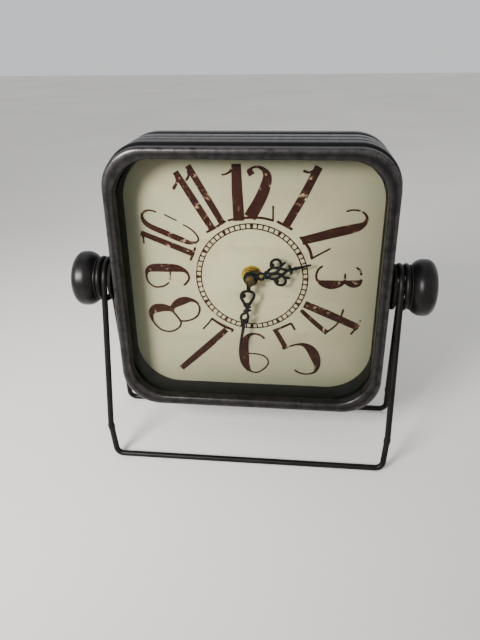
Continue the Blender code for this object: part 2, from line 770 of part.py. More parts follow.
def build_motion_work(minute_body, hour_body, minute_wheel_body, setting_body):
    """The wheels that turn the hands at twelve to one, and the knob that sets them."""
    cannon = gear_outline(CANNON_TEETH, MOTION_MODULE, UP)
    arbor = plate("minute_arbor", [cannon, circle(1.2, 16)], 18.2, 19.6)
    add_pipe(arbor, MINUTE_TUBE, MINUTE_TUBE_BORE, CAP_FRONT + 1.2, 21.3, minute_body)
    finish(arbor, "brass", minute_body)

    teeth = gear_outline(HOUR_WHEEL_TEETH, MOTION_MODULE, UP)
    hour = plate("hour_wheel", [teeth, circle(2.1, 16)], 16.8, 17.8)
    add_pipe(hour, HOUR_PIPE, HOUR_PIPE_BORE, HOUR_HAND_DEPTH - 0.5, 17.6, hour_body)
    finish(hour, "wheel_plastic", hour_body)

    teeth = gear_outline(MINUTE_WHEEL_TEETH, MOTION_MODULE, DOWN, gap_there=True)
    idler = plate("minute_wheel", [teeth], 18.4, 19.4)
    pinion = gear_outline(MINUTE_PINION_TEETH, MOTION_MODULE, DOWN, gap_there=True)
    add_pinion(idler, [pinion], 16.7, 18.6, minute_wheel_body)
    add_arbor(idler, ARBOR, 15.6, 19.8, minute_wheel_body)
    finish(idler, "wheel_plastic", minute_wheel_body)

    teeth = gear_outline(SETTING_TEETH, MOTION_MODULE, DOWN)
    pinion = plate("setting_knob", [teeth], 18.2, 19.6)
    stem_rear = TRAY_REAR + GAP + COVER_THICKNESS + GAP
    profile = [
        (0, stem_rear + 4.5),
        (5.2, stem_rear + 4.5),
        (6.0, stem_rear + 3.8),
        (6.0, stem_rear),
        (1.3, stem_rear),
        (1.3, 17.8),
        (0, 17.8),
    ]
    stem = turned("setting_knob_stem", profile, BACKWARDS, 20)
    boolean(pinion, stem, "UNION", setting_body)
    finish(pinion, "wheel_plastic", setting_body)


def build_going_train(bodies):
    """Rotor to intermediate, seconds, third and centre wheels, stepping down 5, 6, 7.5 and 8 to one."""
    teeth = gear_outline(CENTRE_WHEEL_TEETH, CENTRE_MODULE, LEFT)
    centre = plate("centre_wheel", [teeth, circle(MINUTE_TUBE + GAP, 16)], 20.2, 21.0)
    finish(centre, "wheel_plastic", bodies["centre_wheel"])

    body = bodies["third_wheel"]
    third = plate("third_wheel", [gear_outline(THIRD_WHEEL_TEETH, TRAIN_MODULE, RIGHT, True)], 22.0, 22.8)
    pinion = gear_outline(THIRD_PINION_TEETH, CENTRE_MODULE, RIGHT, True)
    add_pinion(third, [pinion], 20.0, 22.2, body)
    add_arbor(third, ARBOR, 15.6, 27.9, body)
    finish(third, "wheel_plastic", body)

    body = bodies["seconds_wheel"]
    seconds = plate("seconds_wheel", [gear_outline(SECONDS_WHEEL_TEETH, TRAIN_MODULE, RIGHT)], 23.6, 24.4)
    pinion = gear_outline(SECONDS_PINION_TEETH, TRAIN_MODULE, LEFT)
    add_pinion(seconds, [pinion], 21.8, 23.8, body)
    add_arbor(seconds, ARBOR, CAP_FRONT + 2.0, 27.9, body)
    finish(seconds, "wheel_plastic", body)

    body = bodies["intermediate_wheel"]
    teeth = gear_outline(INTERMEDIATE_WHEEL_TEETH, ROTOR_MODULE, ROTOR_BEARING)
    intermediate = plate("intermediate_wheel", [teeth], 25.2, 26.0)
    pinion = gear_outline(INTERMEDIATE_PINION_TEETH, TRAIN_MODULE, LEFT, True)
    add_pinion(intermediate, [pinion], 23.5, 25.4, body)
    add_arbor(intermediate, ARBOR, 15.6, 27.9, body)
    finish(intermediate, "wheel_plastic", body)

    body = bodies["motor_rotor"]
    teeth = gear_outline(ROTOR_PINION_TEETH, ROTOR_MODULE, ROTOR_BEARING + 180, True)
    rotor = plate("motor_rotor", [teeth], 25.0, 26.2)
    profile = [(0, 24.4), (MAGNET_RADIUS, 24.4), (MAGNET_RADIUS, 20.8), (0, 20.8)]
    boolean(rotor, turned("rotor_magnet", profile, BACKWARDS, 16), "UNION", body)
    add_arbor(rotor, ARBOR, 15.6, 27.9, body)
    finish(rotor, "magnet_grey", body)


# ---------------------------------------------------------------- the clock

def add_materials():
    add_material("case_steel", (0.045, 0.042, 0.043), 0.45, 0.8)
    add_material("wire_black", (0.035, 0.033, 0.034), 0.45, 0.8)
    add_material("knob_steel", (0.035, 0.034, 0.034), 0.35, 0.8)
    add_material("boss_black", (0.012, 0.011, 0.011), 0.6, 0.3)
    add_material("stud_steel", (0.35, 0.35, 0.36), 0.4, 1.0)
    add_material("clear_glass", (0.9, 0.95, 0.93), 0.02, 0.0, 0.15)
    add_material("spacer_black", (0.02, 0.022, 0.02), 0.7, 0.0)
    add_material("dial_paper", (0.62, 0.58, 0.44), 0.6, 0.0)
    add_material("back_board", (0.03, 0.03, 0.03), 0.8, 0.0)
    add_material("zinc_screw", (0.6, 0.6, 0.58), 0.35, 1.0)
    add_material("brass", (0.60, 0.42, 0.14), 0.35, 1.0)
    add_material("rubber_black", (0.02, 0.02, 0.02), 0.8, 0.0)
    add_material("hand_black", (0.012, 0.011, 0.011), 0.5, 0.4)
    add_material("movement_plastic", (0.02, 0.02, 0.022), 0.5, 0.0)
    add_material("wheel_plastic", (0.75, 0.73, 0.66), 0.5, 0.0)
    add_material("plain_steel", (0.55, 0.55, 0.55), 0.35, 1.0)
    add_material("copper", (0.62, 0.28, 0.14), 0.4, 1.0)
    add_material("board_green", (0.03, 0.16, 0.06), 0.5, 0.0)
    add_material("magnet_grey", (0.16, 0.16, 0.17), 0.5, 0.6)
    add_material("battery_sleeve", (0.05, 0.05, 0.06), 0.3, 0.0)


def build_clock():
    stand = add_empty("stand", (0, 0, 0))
    case = add_empty("case", (0, PIVOT_Y, PIVOT_HEIGHT))
    shaft = add_empty("shaft", (0, 0, SHAFT_RISE), case)
    build_stand(stand)
    build_bezel(case)
    build_band(case)
    build_glass_and_dial(case)
    build_back(case)
    build_pivots(case)
    build_dial_fixings(shaft)
    build_movement_housing(shaft)
    build_motor(shaft)

    for side, name in ((-1, "left"), (1, "right")):
        washer_body = add_empty(f"{name}_washer", (0, 0, 0), case)
        knob_body = add_empty(f"{name}_knob", (0, 0, 0), washer_body)
        build_knob(side, name, washer_body, knob_body)

    minute = add_empty("minute", (0, 0, 0), shaft)
    hour = add_empty("hour", (0, 0, 0), shaft)
    idler = add_empty("idler", (0, 0, MOTION_SPACING), shaft)
    setting = add_empty("setting", (0, 0, MOTION_SPACING + SETTING_SPACING), shaft)
    build_hands(minute, hour)
    build_motion_work(minute, hour, idler, setting)

    rotor_x, rotor_z = rotor_place()
    build_going_train({
        "centre_wheel": add_empty("centre_wheel_axis", (0, 0, 0), shaft),
        "seconds_wheel": add_empty("seconds_wheel_axis", (0, 0, 0), shaft),
        "third_wheel": add_empty("third_wheel_axis", (-THIRD_SPACING, 0, 0), shaft),
        "intermediate_wheel": add_empty("intermediate_wheel_axis", (INTERMEDIATE_SPACING, 0, 0), shaft),
        "motor_rotor": add_empty("motor_rotor_axis", (rotor_x, 0, rotor_z), shaft),
    })
    build_battery(add_empty("battery", (0, BATTERY_Y, BATTERY_Z), shaft))


clear_scene()
parts = add_collection("tilting_table_clock")
cutters = add_collection("cutters")
add_materials()
build_clock()
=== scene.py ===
"""Looks of the tilting table clock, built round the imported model.

Sizes are in millimetres and become metres through MM. X runs to the viewer's right, Y away from the viewer
and Z up. The stand is drawn from the floor up, and everything in the case from the tilt axis.
"""

import json
import math

import bmesh
import bpy
from mathutils import Matrix, Vector, noise


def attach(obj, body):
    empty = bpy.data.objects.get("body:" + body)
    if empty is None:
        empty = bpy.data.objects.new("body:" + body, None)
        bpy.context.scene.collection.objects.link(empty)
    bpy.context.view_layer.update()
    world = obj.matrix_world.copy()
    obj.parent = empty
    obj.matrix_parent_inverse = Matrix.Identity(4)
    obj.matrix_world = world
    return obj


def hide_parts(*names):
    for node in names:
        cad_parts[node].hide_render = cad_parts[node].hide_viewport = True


MM = 0.001

# Case
BEZEL_HALF, BEZEL_RADIUS = 116.0, 33.0
BEZEL_FRONT, BEZEL_REAR = -21.0, -12.5
EDGE_ROUND = 2.8                           # rounding of the bezel's outer front edge
LIP_INSET = 9.0                            # width of the bezel's face
LIP_ROUND = 2.0
LIP_REAR = -12.0
SHEET = 1.2
BAND_HALF, BAND_RADIUS = 118.0, 35.0
BAND_REAR = 56.0
GROOVE_INSET, GROOVE_REACH = 1.3, 2.0
FLANGE_FRONT = 51.2
FLANGE_REAR = FLANGE_FRONT + SHEET
FLANGE_WIDTH = 11.0
INSERT_HALF, INSERT_RADIUS = 112.2, 29.5
SPACER_HALF, SPACER_RADIUS = 108.4, 40.0
SPACER_FRONT, SPACER_REAR = -8.4, 10.2
DIAL_FRONT = 10.5
BACK_HALF, BACK_RADIUS = 114.2, 32.0
BACK_NEAR, BACK_FAR = 52.7, 54.7
WINDOW_HALF, WINDOW_RADIUS = 45.0, 8.0
SCREW_AT = 102.4
SCREW_HOLE, SCREW_HEAD = 1.8, 3.5
SCREW_HEAD_NEAR, SCREW_HEAD_FAR = 55.0, 56.8

# Stand
PIVOT_HEIGHT = 157.1
WIRE_RADIUS = 2.6
FOOT_REACH = 46.4
FRONT_FOOT_HALF, REAR_FOOT_HALF = 120.0, 134.0
FOOT_BEND = 7.0
WELD_HEIGHT = 29.0
FRONT_LEG_X = {-1: 125.0, 1: 122.8}
REAR_LEG_X = {-1: 133.0, 1: 133.0}
COIL_RADIUS = 17.5
COIL_X = 124.0
COIL_PITCH = 5.7

# Clamp
STUD_RADIUS, STUD_HEAD = 3.85, 7.2
STUD_HEAD_NEAR, STUD_HEAD_FAR, STUD_END = 112.7, 115.2, 147.0
STUD_BORE, STUD_CHAMFER = 4.15, 0.8
THREAD_PITCH, THREAD_DEPTH, THREAD_RIDGES = 1.25, 0.55, 15
BOSS_RADIUS, BOSS_NEAR, BOSS_FAR = 19.2, 118.3, 121.05
WASHER_RADIUS, WASHER_NEAR, WASHER_FAR = 19.0, 132.65, 133.85
KNOB_RADIUS, KNOB_BASE, KNOB_END = 23.7, 134.15, 154.4
INSERT_POCKET = 6.8

# Hands and dial print
SHAFT_RISE = 3.0                           # the shaft stands this far above the tilt axis
HOUR_ANGLE, MINUTE_ANGLE = 74.5, 189.3     # clockwise from twelve
HOUR_DEPTH, MINUTE_DEPTH, HAND_THICKNESS = 0.6, -2.2, 0.5
HOUR_HUB, MINUTE_HUB = 6.5, 4.6
HAND_SPREAD = 0.75                         # how much broader the hands are than their strokes
SOCKET_RADIUS, BUSH_FRONT = 5.6, 6.6
CAP_RADIUS, CAP_FRONT = 4.3, -7.4
HOUR_BORE, MINUTE_BORE = 2.8, 1.8
INK_FRONT, INK_REAR = DIAL_FRONT - 0.06, DIAL_FRONT + 0.02
RING_OUTER, RING_INNER, RING_LINE = 49.5, 44.1, 1.15
TICK_HALVES = (0.78, 0.58)                 # half widths of a minute's tick, outside and inside
BLOCK_HALVES = (1.75, 0.95)                # the same for every fifth minute
SQUARE_END = 4.0                           # inked strokes broader than this end square
SQUARE_OVERRUN = 0.7                       # how far they run on, as a share of half their width
INK_SPREAD = 0.35                          # how much broader the ink is than its strokes

# View
CAMERA_PLACE = (41.7, -462.1, 346.7)
CAMERA_LENS = 32.47
CAMERA_YAW, CAMERA_PITCH, CAMERA_ROLL = -6.4, 26.1, -0.8

# Fineness of round shapes
CORNER_STEPS = 16
TURN_STEPS = 72
WIRE_SIDES = 20

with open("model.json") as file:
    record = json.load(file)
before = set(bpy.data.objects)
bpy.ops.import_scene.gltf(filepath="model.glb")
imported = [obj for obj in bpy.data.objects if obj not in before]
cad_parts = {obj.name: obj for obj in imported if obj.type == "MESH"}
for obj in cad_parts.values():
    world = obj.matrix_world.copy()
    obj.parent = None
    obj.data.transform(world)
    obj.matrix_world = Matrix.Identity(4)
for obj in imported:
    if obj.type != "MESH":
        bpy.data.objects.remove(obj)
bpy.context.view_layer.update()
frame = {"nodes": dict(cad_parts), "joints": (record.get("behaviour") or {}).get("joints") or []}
PIVOT = Vector(next(joint["pos_m"] for joint in frame["joints"] if joint["name"] == "case_tilt"))
PIVOT_Y = PIVOT.y / MM


# ---------------------------------------------------------------- shape helpers

def new_object(name, data):
    made = bpy.data.objects.new(name, data)
    bpy.context.scene.collection.objects.link(made)
    return made


def mesh_object(name, mesh):
    """Turns a bmesh in millimetres into an object in metres, smooth except at its edges."""
    bmesh.ops.recalc_face_normals(mesh, faces=mesh.faces)
    data = bpy.data.meshes.new(name)
    mesh.to_mesh(data)
    mesh.free()
    data.transform(Matrix.Scale(MM, 4))
    data.shade_smooth()
    data.set_sharp_from_angle(angle=math.radians(32))
    return new_object(name, data)


def on_case(obj):
    """Moves a piece that was drawn from the tilt axis to its place."""
    obj.data.transform(Matrix.Translation(PIVOT))
    return obj


def add_piece(obj, material, body, slot, *nodes):
    obj.data.materials.clear()
    obj.data.materials.append(material)
    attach(obj, body)
    if nodes:
        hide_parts(*nodes)
    return obj


def rounded_square(half, radius, steps=CORNER_STEPS):
    points = []
    for corner, (sx, sz) in enumerate(((1, 1), (-1, 1), (-1, -1), (1, -1))):
        for step in range(steps + 1):
            angle = math.radians(90 * (corner + step / steps))
            x = sx * (half - radius) + radius * math.cos(angle)
            z = sz * (half - radius) + radius * math.sin(angle)
            points.append((x, z))
    return points


def lofted_frame(name, sections):
    """A closed ring through rounded squares of (half, radius, depth, wear). Straight sides are subdivided."""
    mesh = bmesh.new()
    wear = mesh.verts.layers.float.new("wear")
    rings = []
    for half, radius, depth, worn in sections:
        corners = rounded_square(half, radius)
        ring = []
        for start, end in zip(corners, corners[1:] + corners[:1]):
            length = math.dist(start, end)
            pieces = 12 if length > 60 else 1
            for piece in range(pieces):
                share = piece / pieces
                x = start[0] + share * (end[0] - start[0])
                z = start[1] + share * (end[1] - start[1])
                vert = mesh.verts.new((x, depth, z))
                vert[wear] = worn
                ring.append(vert)
        rings.append(ring)
    count = len(rings[0])
    for ring, following in zip(rings, rings[1:] + rings[:1]):
        for i in range(count):
            j = (i + 1) % count
            mesh.faces.new((ring[i], following[i], following[j], ring[j]))
    return on_case(mesh_object(name, mesh))


def turned(name, profile, axis, centre=(0.0, 0.0, 0.0), steps=TURN_STEPS):
    """A turned piece on the case. The profile is (radius, distance, wear), with radius 0 at closed ends."""
    along = Vector(axis)
    across = Vector((0, 0, 1))
    third = along.cross(across)
    mesh = bmesh.new()
    wear = mesh.verts.layers.float.new("wear")
    rings = []
    for radius, distance, worn in profile:
        middle = Vector(centre) + along * distance
        if radius == 0:
            ring = [mesh.verts.new(middle)]
        else:
            ring = []
            for step in range(steps):
                angle = 2 * math.pi * step / steps
                spoke = across * math.cos(angle) + third * math.sin(angle)
                ring.append(mesh.verts.new(middle + spoke * radius))
        for vert in ring:
            vert[wear] = worn
        rings.append(ring)
    pairs = list(zip(rings, rings[1:]))
    if profile[0][0] > 0:
        pairs.append((rings[-1], rings[0]))
    for ring, following in pairs:
        for i in range(steps):
            j = (i + 1) % steps
            if len(ring) == 1:
                mesh.faces.new((ring[0], following[j], following[i]))
            elif len(following) == 1:
                mesh.faces.new((ring[i], ring[j], following[0]))
            else:
                mesh.faces.new((ring[i], ring[j], following[j], following[i]))
    return on_case(mesh_object(name, mesh))


def tube(name, path, radii, lumps):
    """A wire along a path from the floor up. lumps scales a fixed roughness of the radius at each point."""
    mesh = bmesh.new()
    count = len(path)
    tangents = []
    for i in range(count):
        tangents.append((path[min(i + 1, count - 1)] - path[max(i - 1, 0)]).normalized())
    across = tangents[0].orthogonal().normalized()
    rings = []
    for point, tangent, radius, lump in zip(path, tangents, radii, lumps):
        across = (across - tangent * across.dot(tangent)).normalized()
        third = tangent.cross(across)
        ring = []
        for side in range(WIRE_SIDES):
            angle = 2 * math.pi * side / WIRE_SIDES
            spoke = across * math.cos(angle) + third * math.sin(angle)
            rough = lump * noise.noise((point + spoke * radius) * 0.7)
            ring.append(mesh.verts.new(point + spoke * (radius + rough)))
        rings.append(ring)
    for ring, following in zip(rings, rings[1:]):
        for i in range(WIRE_SIDES):
            j = (i + 1) % WIRE_SIDES
            mesh.faces.new((ring[i], ring[j], following[j], following[i]))
    mesh.faces.new(rings[0])
    mesh.faces.new(rings[-1])
    return mesh_object(name, mesh)


def evaluated_mesh(obj):
    """A new mesh of the object with its modifiers applied."""
    bpy.context.view_layer.update()
    return bpy.data.meshes.new_from_object(obj.evaluated_get(bpy.context.evaluated_depsgraph_get()))


def flat_plate(outlines, near, far):
    """A flat piece that faces along Y, as a bmesh in millimetres: its outline in X and Z, then its holes."""
    data = bpy.data.curves.new("plate", "CURVE")
    data.dimensions = "2D"
    data.fill_mode = "BOTH"
    data.extrude = (far - near) / 2
    for outline in outlines:
        spline = data.splines.new("POLY")
        spline.points.add(len(outline) - 1)
        for point, (x, z) in zip(spline.points, outline):
            point.co = (x, z, 0, 1)
        spline.use_cyclic_u = True
    holder = new_object("plate", data)
    flat = evaluated_mesh(holder)
    mesh = bmesh.new()
    mesh.from_mesh(flat)
    bmesh.ops.remove_doubles(mesh, verts=mesh.verts, dist=1e-4)
    stand_up = Matrix.Translation((0, (near + far) / 2, 0)) @ Matrix.Rotation(math.pi / 2, 4, "X")
    bmesh.ops.transform(mesh, matrix=stand_up, verts=mesh.verts)
    bpy.data.objects.remove(holder)
    bpy.data.meshes.remove(flat)
    return mesh


def plate(name, outlines, near, far):
    return on_case(mesh_object(name, flat_plate(outlines, near, far)))


def joined(pieces):
    """One bmesh that holds all the pieces as separate shells."""
    whole = bmesh.new()
    for piece in pieces:
        data = bpy.data.meshes.new("shell")
        piece.to_mesh(data)
        piece.free()
        whole.from_mesh(data)
        bpy.data.meshes.remove(data)
    return whole


def union(name, pieces):
    """One solid from overlapping flat pieces."""
    if len(pieces) == 1:
        return on_case(mesh_object(name, pieces[0]))
    holders = []
    for shells in (pieces[:-1], pieces[-1:]):
        whole = joined(shells)
        bmesh.ops.recalc_face_normals(whole, faces=whole.faces)
        data = bpy.data.meshes.new("holder")
        whole.to_mesh(data)
        whole.free()
        holders.append(new_object("holder", data))
    modifier = holders[0].modifiers.new("union", "BOOLEAN")
    modifier.operation = "UNION"
    modifier.solver = "EXACT"
    modifier.use_self = True
    modifier.object = holders[1]
    mesh = bmesh.new()
    mesh.from_mesh(evaluated_mesh(holders[0]))
    for holder in holders:
        bpy.data.objects.remove(holder)
    return on_case(mesh_object(name, mesh))


def cut(target, tool):
    """Takes the tool's shape out of the target and removes the tool."""
    modifier = target.modifiers.new("cut", "BOOLEAN")
    modifier.operation = "DIFFERENCE"
    modifier.solver = "EXACT"
    modifier.object = tool
    data = evaluated_mesh(target)
    target.modifiers.clear()
    target.data = data
    bpy.data.objects.remove(tool)
    return target


def circle(radius, steps=48, x=0.0, z=0.0):
    angles = [2 * math.pi * step / steps for step in range(steps)]
    return [(x + radius * math.cos(angle), z + radius * math.sin(angle)) for angle in angles]


def smooth_line(points, steps=5):
    """A Catmull-Rom curve through points of any number of values."""
    if len(points) < 3:
        return [Vector(point) for point in points]
    knots = [Vector(point) for point in points]
    knots = [2 * knots[0] - knots[1]] + knots + [2 * knots[-1] - knots[-2]]
    line = []
    for before, start, end, after in zip(knots, knots[1:], knots[2:], knots[3:]):
        for step in range(steps):
            t = step / steps
            line.append(0.5 * (2 * start + (end - before) * t
                               + (2 * before - 5 * start + 4 * end - after) * t ** 2
                               + (3 * start - before - 3 * end + after) * t ** 3))
    return line + [knots[-2]]


def stroke_outline(points, weight, square_from=math.inf):
    """The outline of a pen stroke through (x, z, width), broader by weight. Broad ends are cut square."""
    line = smooth_line(points)
    left, right = [], []
    for i, spot in enumerate(line):
        ahead = line[min(i + 1, len(line) - 1)]
        behind = line[max(i - 1, 0)]
        direction = Vector((ahead[0] - behind[0], ahead[1] - behind[1])).normalized()
        offset = Vector((-direction.y, direction.x)) * (spot[2] + weight) / 2
        middle = Vector((spot[0], spot[1]))
        left.append(middle + offset)
        right.append(middle - offset)

    def cap(start, end):
        middle = (start + end) / 2
        spoke = start - middle
        if spoke.length > square_from / 2:
            outwards = Matrix.Rotation(-math.pi / 2, 2) @ spoke * SQUARE_OVERRUN
            return [start + outwards, end + outwards]
        return [middle + Matrix.Rotation(-math.pi * step / 4, 2) @ spoke * 0.98 for step in (1, 2, 3)]

    outline = left + cap(left[-1], right[-1]) + right[::-1] + cap(right[0], left[0])
    return [tuple(point) for point in outline]


# ---------------------------------------------------------------- material helpers

class Shader:
    """A Principled material and short ways to add the nodes that drive it."""

    def __init__(self, name):
        self.material = bpy.data.materials.new(name)
        self.material.use_nodes = True
        self.tree = self.material.node_tree
        self.principled = self.tree.nodes["Principled BSDF"]
        self.coordinates = self.tree.nodes.new("ShaderNodeTexCoord").outputs["Object"]

    def add(self, kind, **settings):
        node = self.tree.nodes.new(kind)
        for key, value in settings.items():
            setattr(node, key, value)
        return node

    def feed(self, socket, value):
        if isinstance(value, bpy.types.NodeSocket):
            self.tree.links.new(value, socket)
        else:
            socket.default_value = value

    def stretched(self, x, y, z):
        node = self.add("ShaderNodeMapping")
        self.feed(node.inputs["Vector"], self.coordinates)
        node.inputs["Scale"].default_value = (x, y, z)
        return node.outputs["Vector"]

    def noise(self, scale, detail=4.0, roughness=0.55, distortion=0.0, at=None):
        node = self.add("ShaderNodeTexNoise")
        self.feed(node.inputs["Vector"], at or self.coordinates)
        node.inputs["Scale"].default_value = scale
        node.inputs["Detail"].default_value = detail
        node.inputs["Roughness"].default_value = roughness
        node.inputs["Distortion"].default_value = distortion
        return node.outputs["Fac"]

    def wave(self, scale, axis, distortion=0.0, at=None):
        node = self.add("ShaderNodeTexWave", bands_direction=axis)
        self.feed(node.inputs["Vector"], at or self.coordinates)
        node.inputs["Scale"].default_value = scale
        node.inputs["Distortion"].default_value = distortion
        return node.outputs["Fac"]

    def ramp(self, value, *stops):
        """A grey ramp between two stops of (place, grey)."""
        node = self.add("ShaderNodeValToRGB")
        self.feed(node.inputs["Fac"], value)
        for element, (place, grey) in zip(node.color_ramp.elements, stops):
            element.position = place
            element.color = (grey, grey, grey, 1.0)
        return node.outputs["Color"]

    def mix(self, share, first, second):
        node = self.add("ShaderNodeMix", data_type="RGBA")
        self.feed(node.inputs["Factor"], share)
        colours = [socket for socket in node.inputs if socket.type == "RGBA"]
        for socket, value in zip(colours, (first, second)):
            self.feed(socket, (*value, 1.0) if isinstance(value, tuple) else value)
        return next(socket for socket in node.outputs if socket.type == "RGBA")

    def math(self, operation, first, second=0.0, clamp=False):
        node = self.add("ShaderNodeMath", operation=operation, use_clamp=clamp)
        self.feed(node.inputs[0], first)
        self.feed(node.inputs[1], second)
        return node.outputs[0]

    def spread(self, value, low, high, start=0.0, end=1.0):
        node = self.add("ShaderNodeMapRange")
        self.feed(node.inputs["Value"], value)
        node.inputs["From Min"].default_value = start
        node.inputs["From Max"].default_value = end
        node.inputs["To Min"].default_value = low
        node.inputs["To Max"].default_value = high
        return node.outputs["Result"]

    def axis(self, letter):
        node = self.add("ShaderNodeSeparateXYZ")
        self.feed(node.inputs[0], self.coordinates)
        return node.outputs[letter]

    def attribute(self, name):
        return self.add("ShaderNodeAttribute", attribute_name=name).outputs["Fac"]

    def bump(self, height, distance, strength=1.0):
        node = self.add("ShaderNodeBump")
        self.feed(node.inputs["Height"], height)
        node.inputs["Distance"].default_value = distance
        node.inputs["Strength"].default_value = strength
        if self.principled.inputs["Normal"].is_linked:
            self.feed(node.inputs["Normal"], self.principled.inputs["Normal"].links[0].from_socket)
        self.feed(self.principled.inputs["Normal"], node.outputs["Normal"])

    def set(self, **values):
        names = {
            "colour": "Base Color",
            "roughness": "Roughness",
            "metallic": "Metallic",
            "specular": "Specular IOR Level",
            "coat": "Coat Weight",
            "alpha": "Alpha",
        }
        for key, value in values.items():
            socket = self.principled.inputs[names[key]]
            self.feed(socket, (*value, 1.0) if isinstance(value, tuple) else value)
        return self.material


def rubbed_paint(name, dark, light, bare, roughness, wear_amount):
    """Dark metallic paint over steel, clouded and streaked, rubbed through by the mesh's wear attribute."""
    s = Shader(name)
    clouds = s.noise(38, 5, 0.6)
    streaks = s.noise(260, 4, 0.6, at=s.stretched(1.0, 0.12, 1.0))
    grain = s.noise(2600, 2)
    tone = s.mix(s.ramp(clouds, (0.35, 0.0), (0.7, 1.0)), dark, light)
    rubbed = s.math("MULTIPLY", s.attribute("wear"), s.spread(s.noise(120, 6, 0.7), 0.0, 2.2, 0.3, 0.62))
    rubbed = s.math("MULTIPLY", rubbed, wear_amount, clamp=True)
    scuffs = s.ramp(s.noise(170, 8, 0.75, 0.6), (0.66, 0.0), (0.74, 0.28))
    shown = s.math("MAXIMUM", rubbed, scuffs)
    colour = s.mix(shown, tone, bare)
    rough = s.spread(streaks, roughness - 0.07, roughness + 0.1)
    rough = s.math("ADD", rough, s.math("MULTIPLY", shown, -0.08))
    s.bump(grain, 0.00006, 0.35)
    s.bump(streaks, 0.00012, 0.3)
    return s.set(colour=colour, roughness=rough, metallic=0.7, specular=0.35)


def black_paint():
    """Matt black for the bosses."""
    s = Shader("boss_paint")
    colour = s.mix(s.noise(180, 4), (0.003, 0.003, 0.003), (0.008, 0.007, 0.007))
    s.bump(s.noise(900, 3), 0.00004, 0.3)
    return s.set(colour=colour, roughness=s.spread(s.noise(240, 3), 0.72, 0.88), specular=0.12)


def lacquer():
    s = Shader("hand_lacquer")
    colour = s.mix(s.noise(300, 3), (0.0022, 0.0020, 0.0020), (0.005, 0.0045, 0.0045))
    s.bump(s.noise(3000, 2), 0.00003, 0.4)
    return s.set(colour=colour, roughness=s.spread(s.noise(500, 3), 0.42, 0.6), specular=0.22)


def aged_paper_and_painted_shade():
    """Cream card with faint stains and fibres, painted darker and greener towards its edges as painted shade
    from the case walls.
    """
    s = Shader("aged_paper_and_painted_shade")
    centred = s.add("ShaderNodeVectorMath", operation="SUBTRACT")
    s.feed(centred.inputs[0], s.coordinates)
    centred.inputs[1].default_value = PIVOT
    parts = s.add("ShaderNodeSeparateXYZ")
    s.feed(parts.inputs[0], centred.outputs[0])
    across = s.math("ABSOLUTE", parts.outputs["X"])
    up = s.math("ABSOLUTE", parts.outputs["Z"])
    # Painted shade: this mask darkens and greens the card towards its edges, where the case walls shade the
    # dial.
    edge = s.math("MAXIMUM", across, up)
    cloud = s.noise(9, 4, 0.6)
    edge = s.math("ADD", edge, s.spread(cloud, -0.02, 0.02))
    base = s.mix(s.spread(edge, 0.0, 1.0, 0.03, 0.115), (0.84, 0.785, 0.465), (0.42, 0.42, 0.265))
    warm = s.ramp(s.noise(26, 5, 0.65), (0.52, 0.0), (0.72, 0.5))
    stained = s.mix(warm, base, (0.60, 0.46, 0.25))
    streaks = s.ramp(s.noise(60, 6, 0.7, at=s.stretched(0.12, 1.0, 1.0)), (0.50, 0.0), (0.72, 0.45))
    stained = s.mix(streaks, stained, (0.52, 0.46, 0.27))
    specks = s.ramp(s.noise(420, 3, 0.6), (0.64, 0.0), (0.76, 0.4))
    colour = s.mix(specks, stained, (0.38, 0.30, 0.17))
    s.bump(s.noise(1500, 4, 0.6), 0.00004, 0.4)
    return s.set(colour=colour, roughness=s.spread(s.noise(60, 3), 0.55, 0.72), specular=0.3)


def worn_ink():
    """Dark brown ink with rusty and cream chips."""
    s = Shader("worn_ink")
    body = s.mix(s.noise(60, 5, 0.65), (0.026, 0.0062, 0.0036), (0.056, 0.0135, 0.007))
    chips = s.noise(110, 9, 0.78, 0.4)
    rust = s.ramp(chips, (0.56, 0.0), (0.59, 1.0))
    bare = s.ramp(chips, (0.595, 0.0), (0.615, 1.0))
    scratches = s.ramp(s.noise(190, 6, 0.75, at=s.stretched(0.3, 1.0, 1.0)), (0.64, 0.0), (0.68, 0.9))
    colour = s.mix(rust, body, (0.15, 0.050, 0.020))
    colour = s.mix(scratches, colour, (0.30, 0.17, 0.08))
    colour = s.mix(bare, colour, (0.62, 0.50, 0.30))
    s.bump(chips, 0.00005, 0.4)
    return s.set(colour=colour, roughness=s.spread(chips, 0.5, 0.7), specular=0.12)


def glass():
    s = Shader("pane_glass")
    dust = s.ramp(s.noise(800, 6, 0.8), (0.6, 0.0), (0.85, 1.0))
    s.set(roughness=s.spread(dust, 0.02, 0.16))
    colour = s.mix(dust, (0.012, 0.018, 0.016), (0.10, 0.10, 0.095))
    glancing = s.add("ShaderNodeFresnel")
    glancing.inputs["IOR"].default_value = 1.5
    return s.set(colour=colour, alpha=s.spread(glancing.outputs[0], 0.03, 0.9), specular=0.9)


def inner_black():
    """Black card, a little greener low down."""
    s = Shader("spacer_card")
    height = s.spread(s.axis("Z"), 0.0, 1.0, 0.045, 0.075)
    low = s.mix(s.noise(50, 4), (0.0055, 0.0062, 0.0052), (0.009, 0.010, 0.0085))
    high = s.mix(s.noise(50, 4), (0.0055, 0.0058, 0.006), (0.0085, 0.009, 0.0092))
    s.bump(s.noise(1300, 3), 0.00006, 0.4)
    colour = s.mix(height, low, high)
    return s.set(colour=colour, roughness=s.spread(s.noise(200, 3), 0.6, 0.78), specular=0.2)


def fibre_board():
    s = Shader("fibre_board")
    fibres = s.noise(520, 6, 0.75, at=s.stretched(1.0, 1.0, 0.3))
    colour = s.mix(fibres, (0.030, 0.021, 0.015), (0.085, 0.060, 0.043))
    s.bump(fibres, 0.00012, 0.5)
    return s.set(colour=colour, roughness=s.spread(fibres, 0.6, 0.85), specular=0.3)


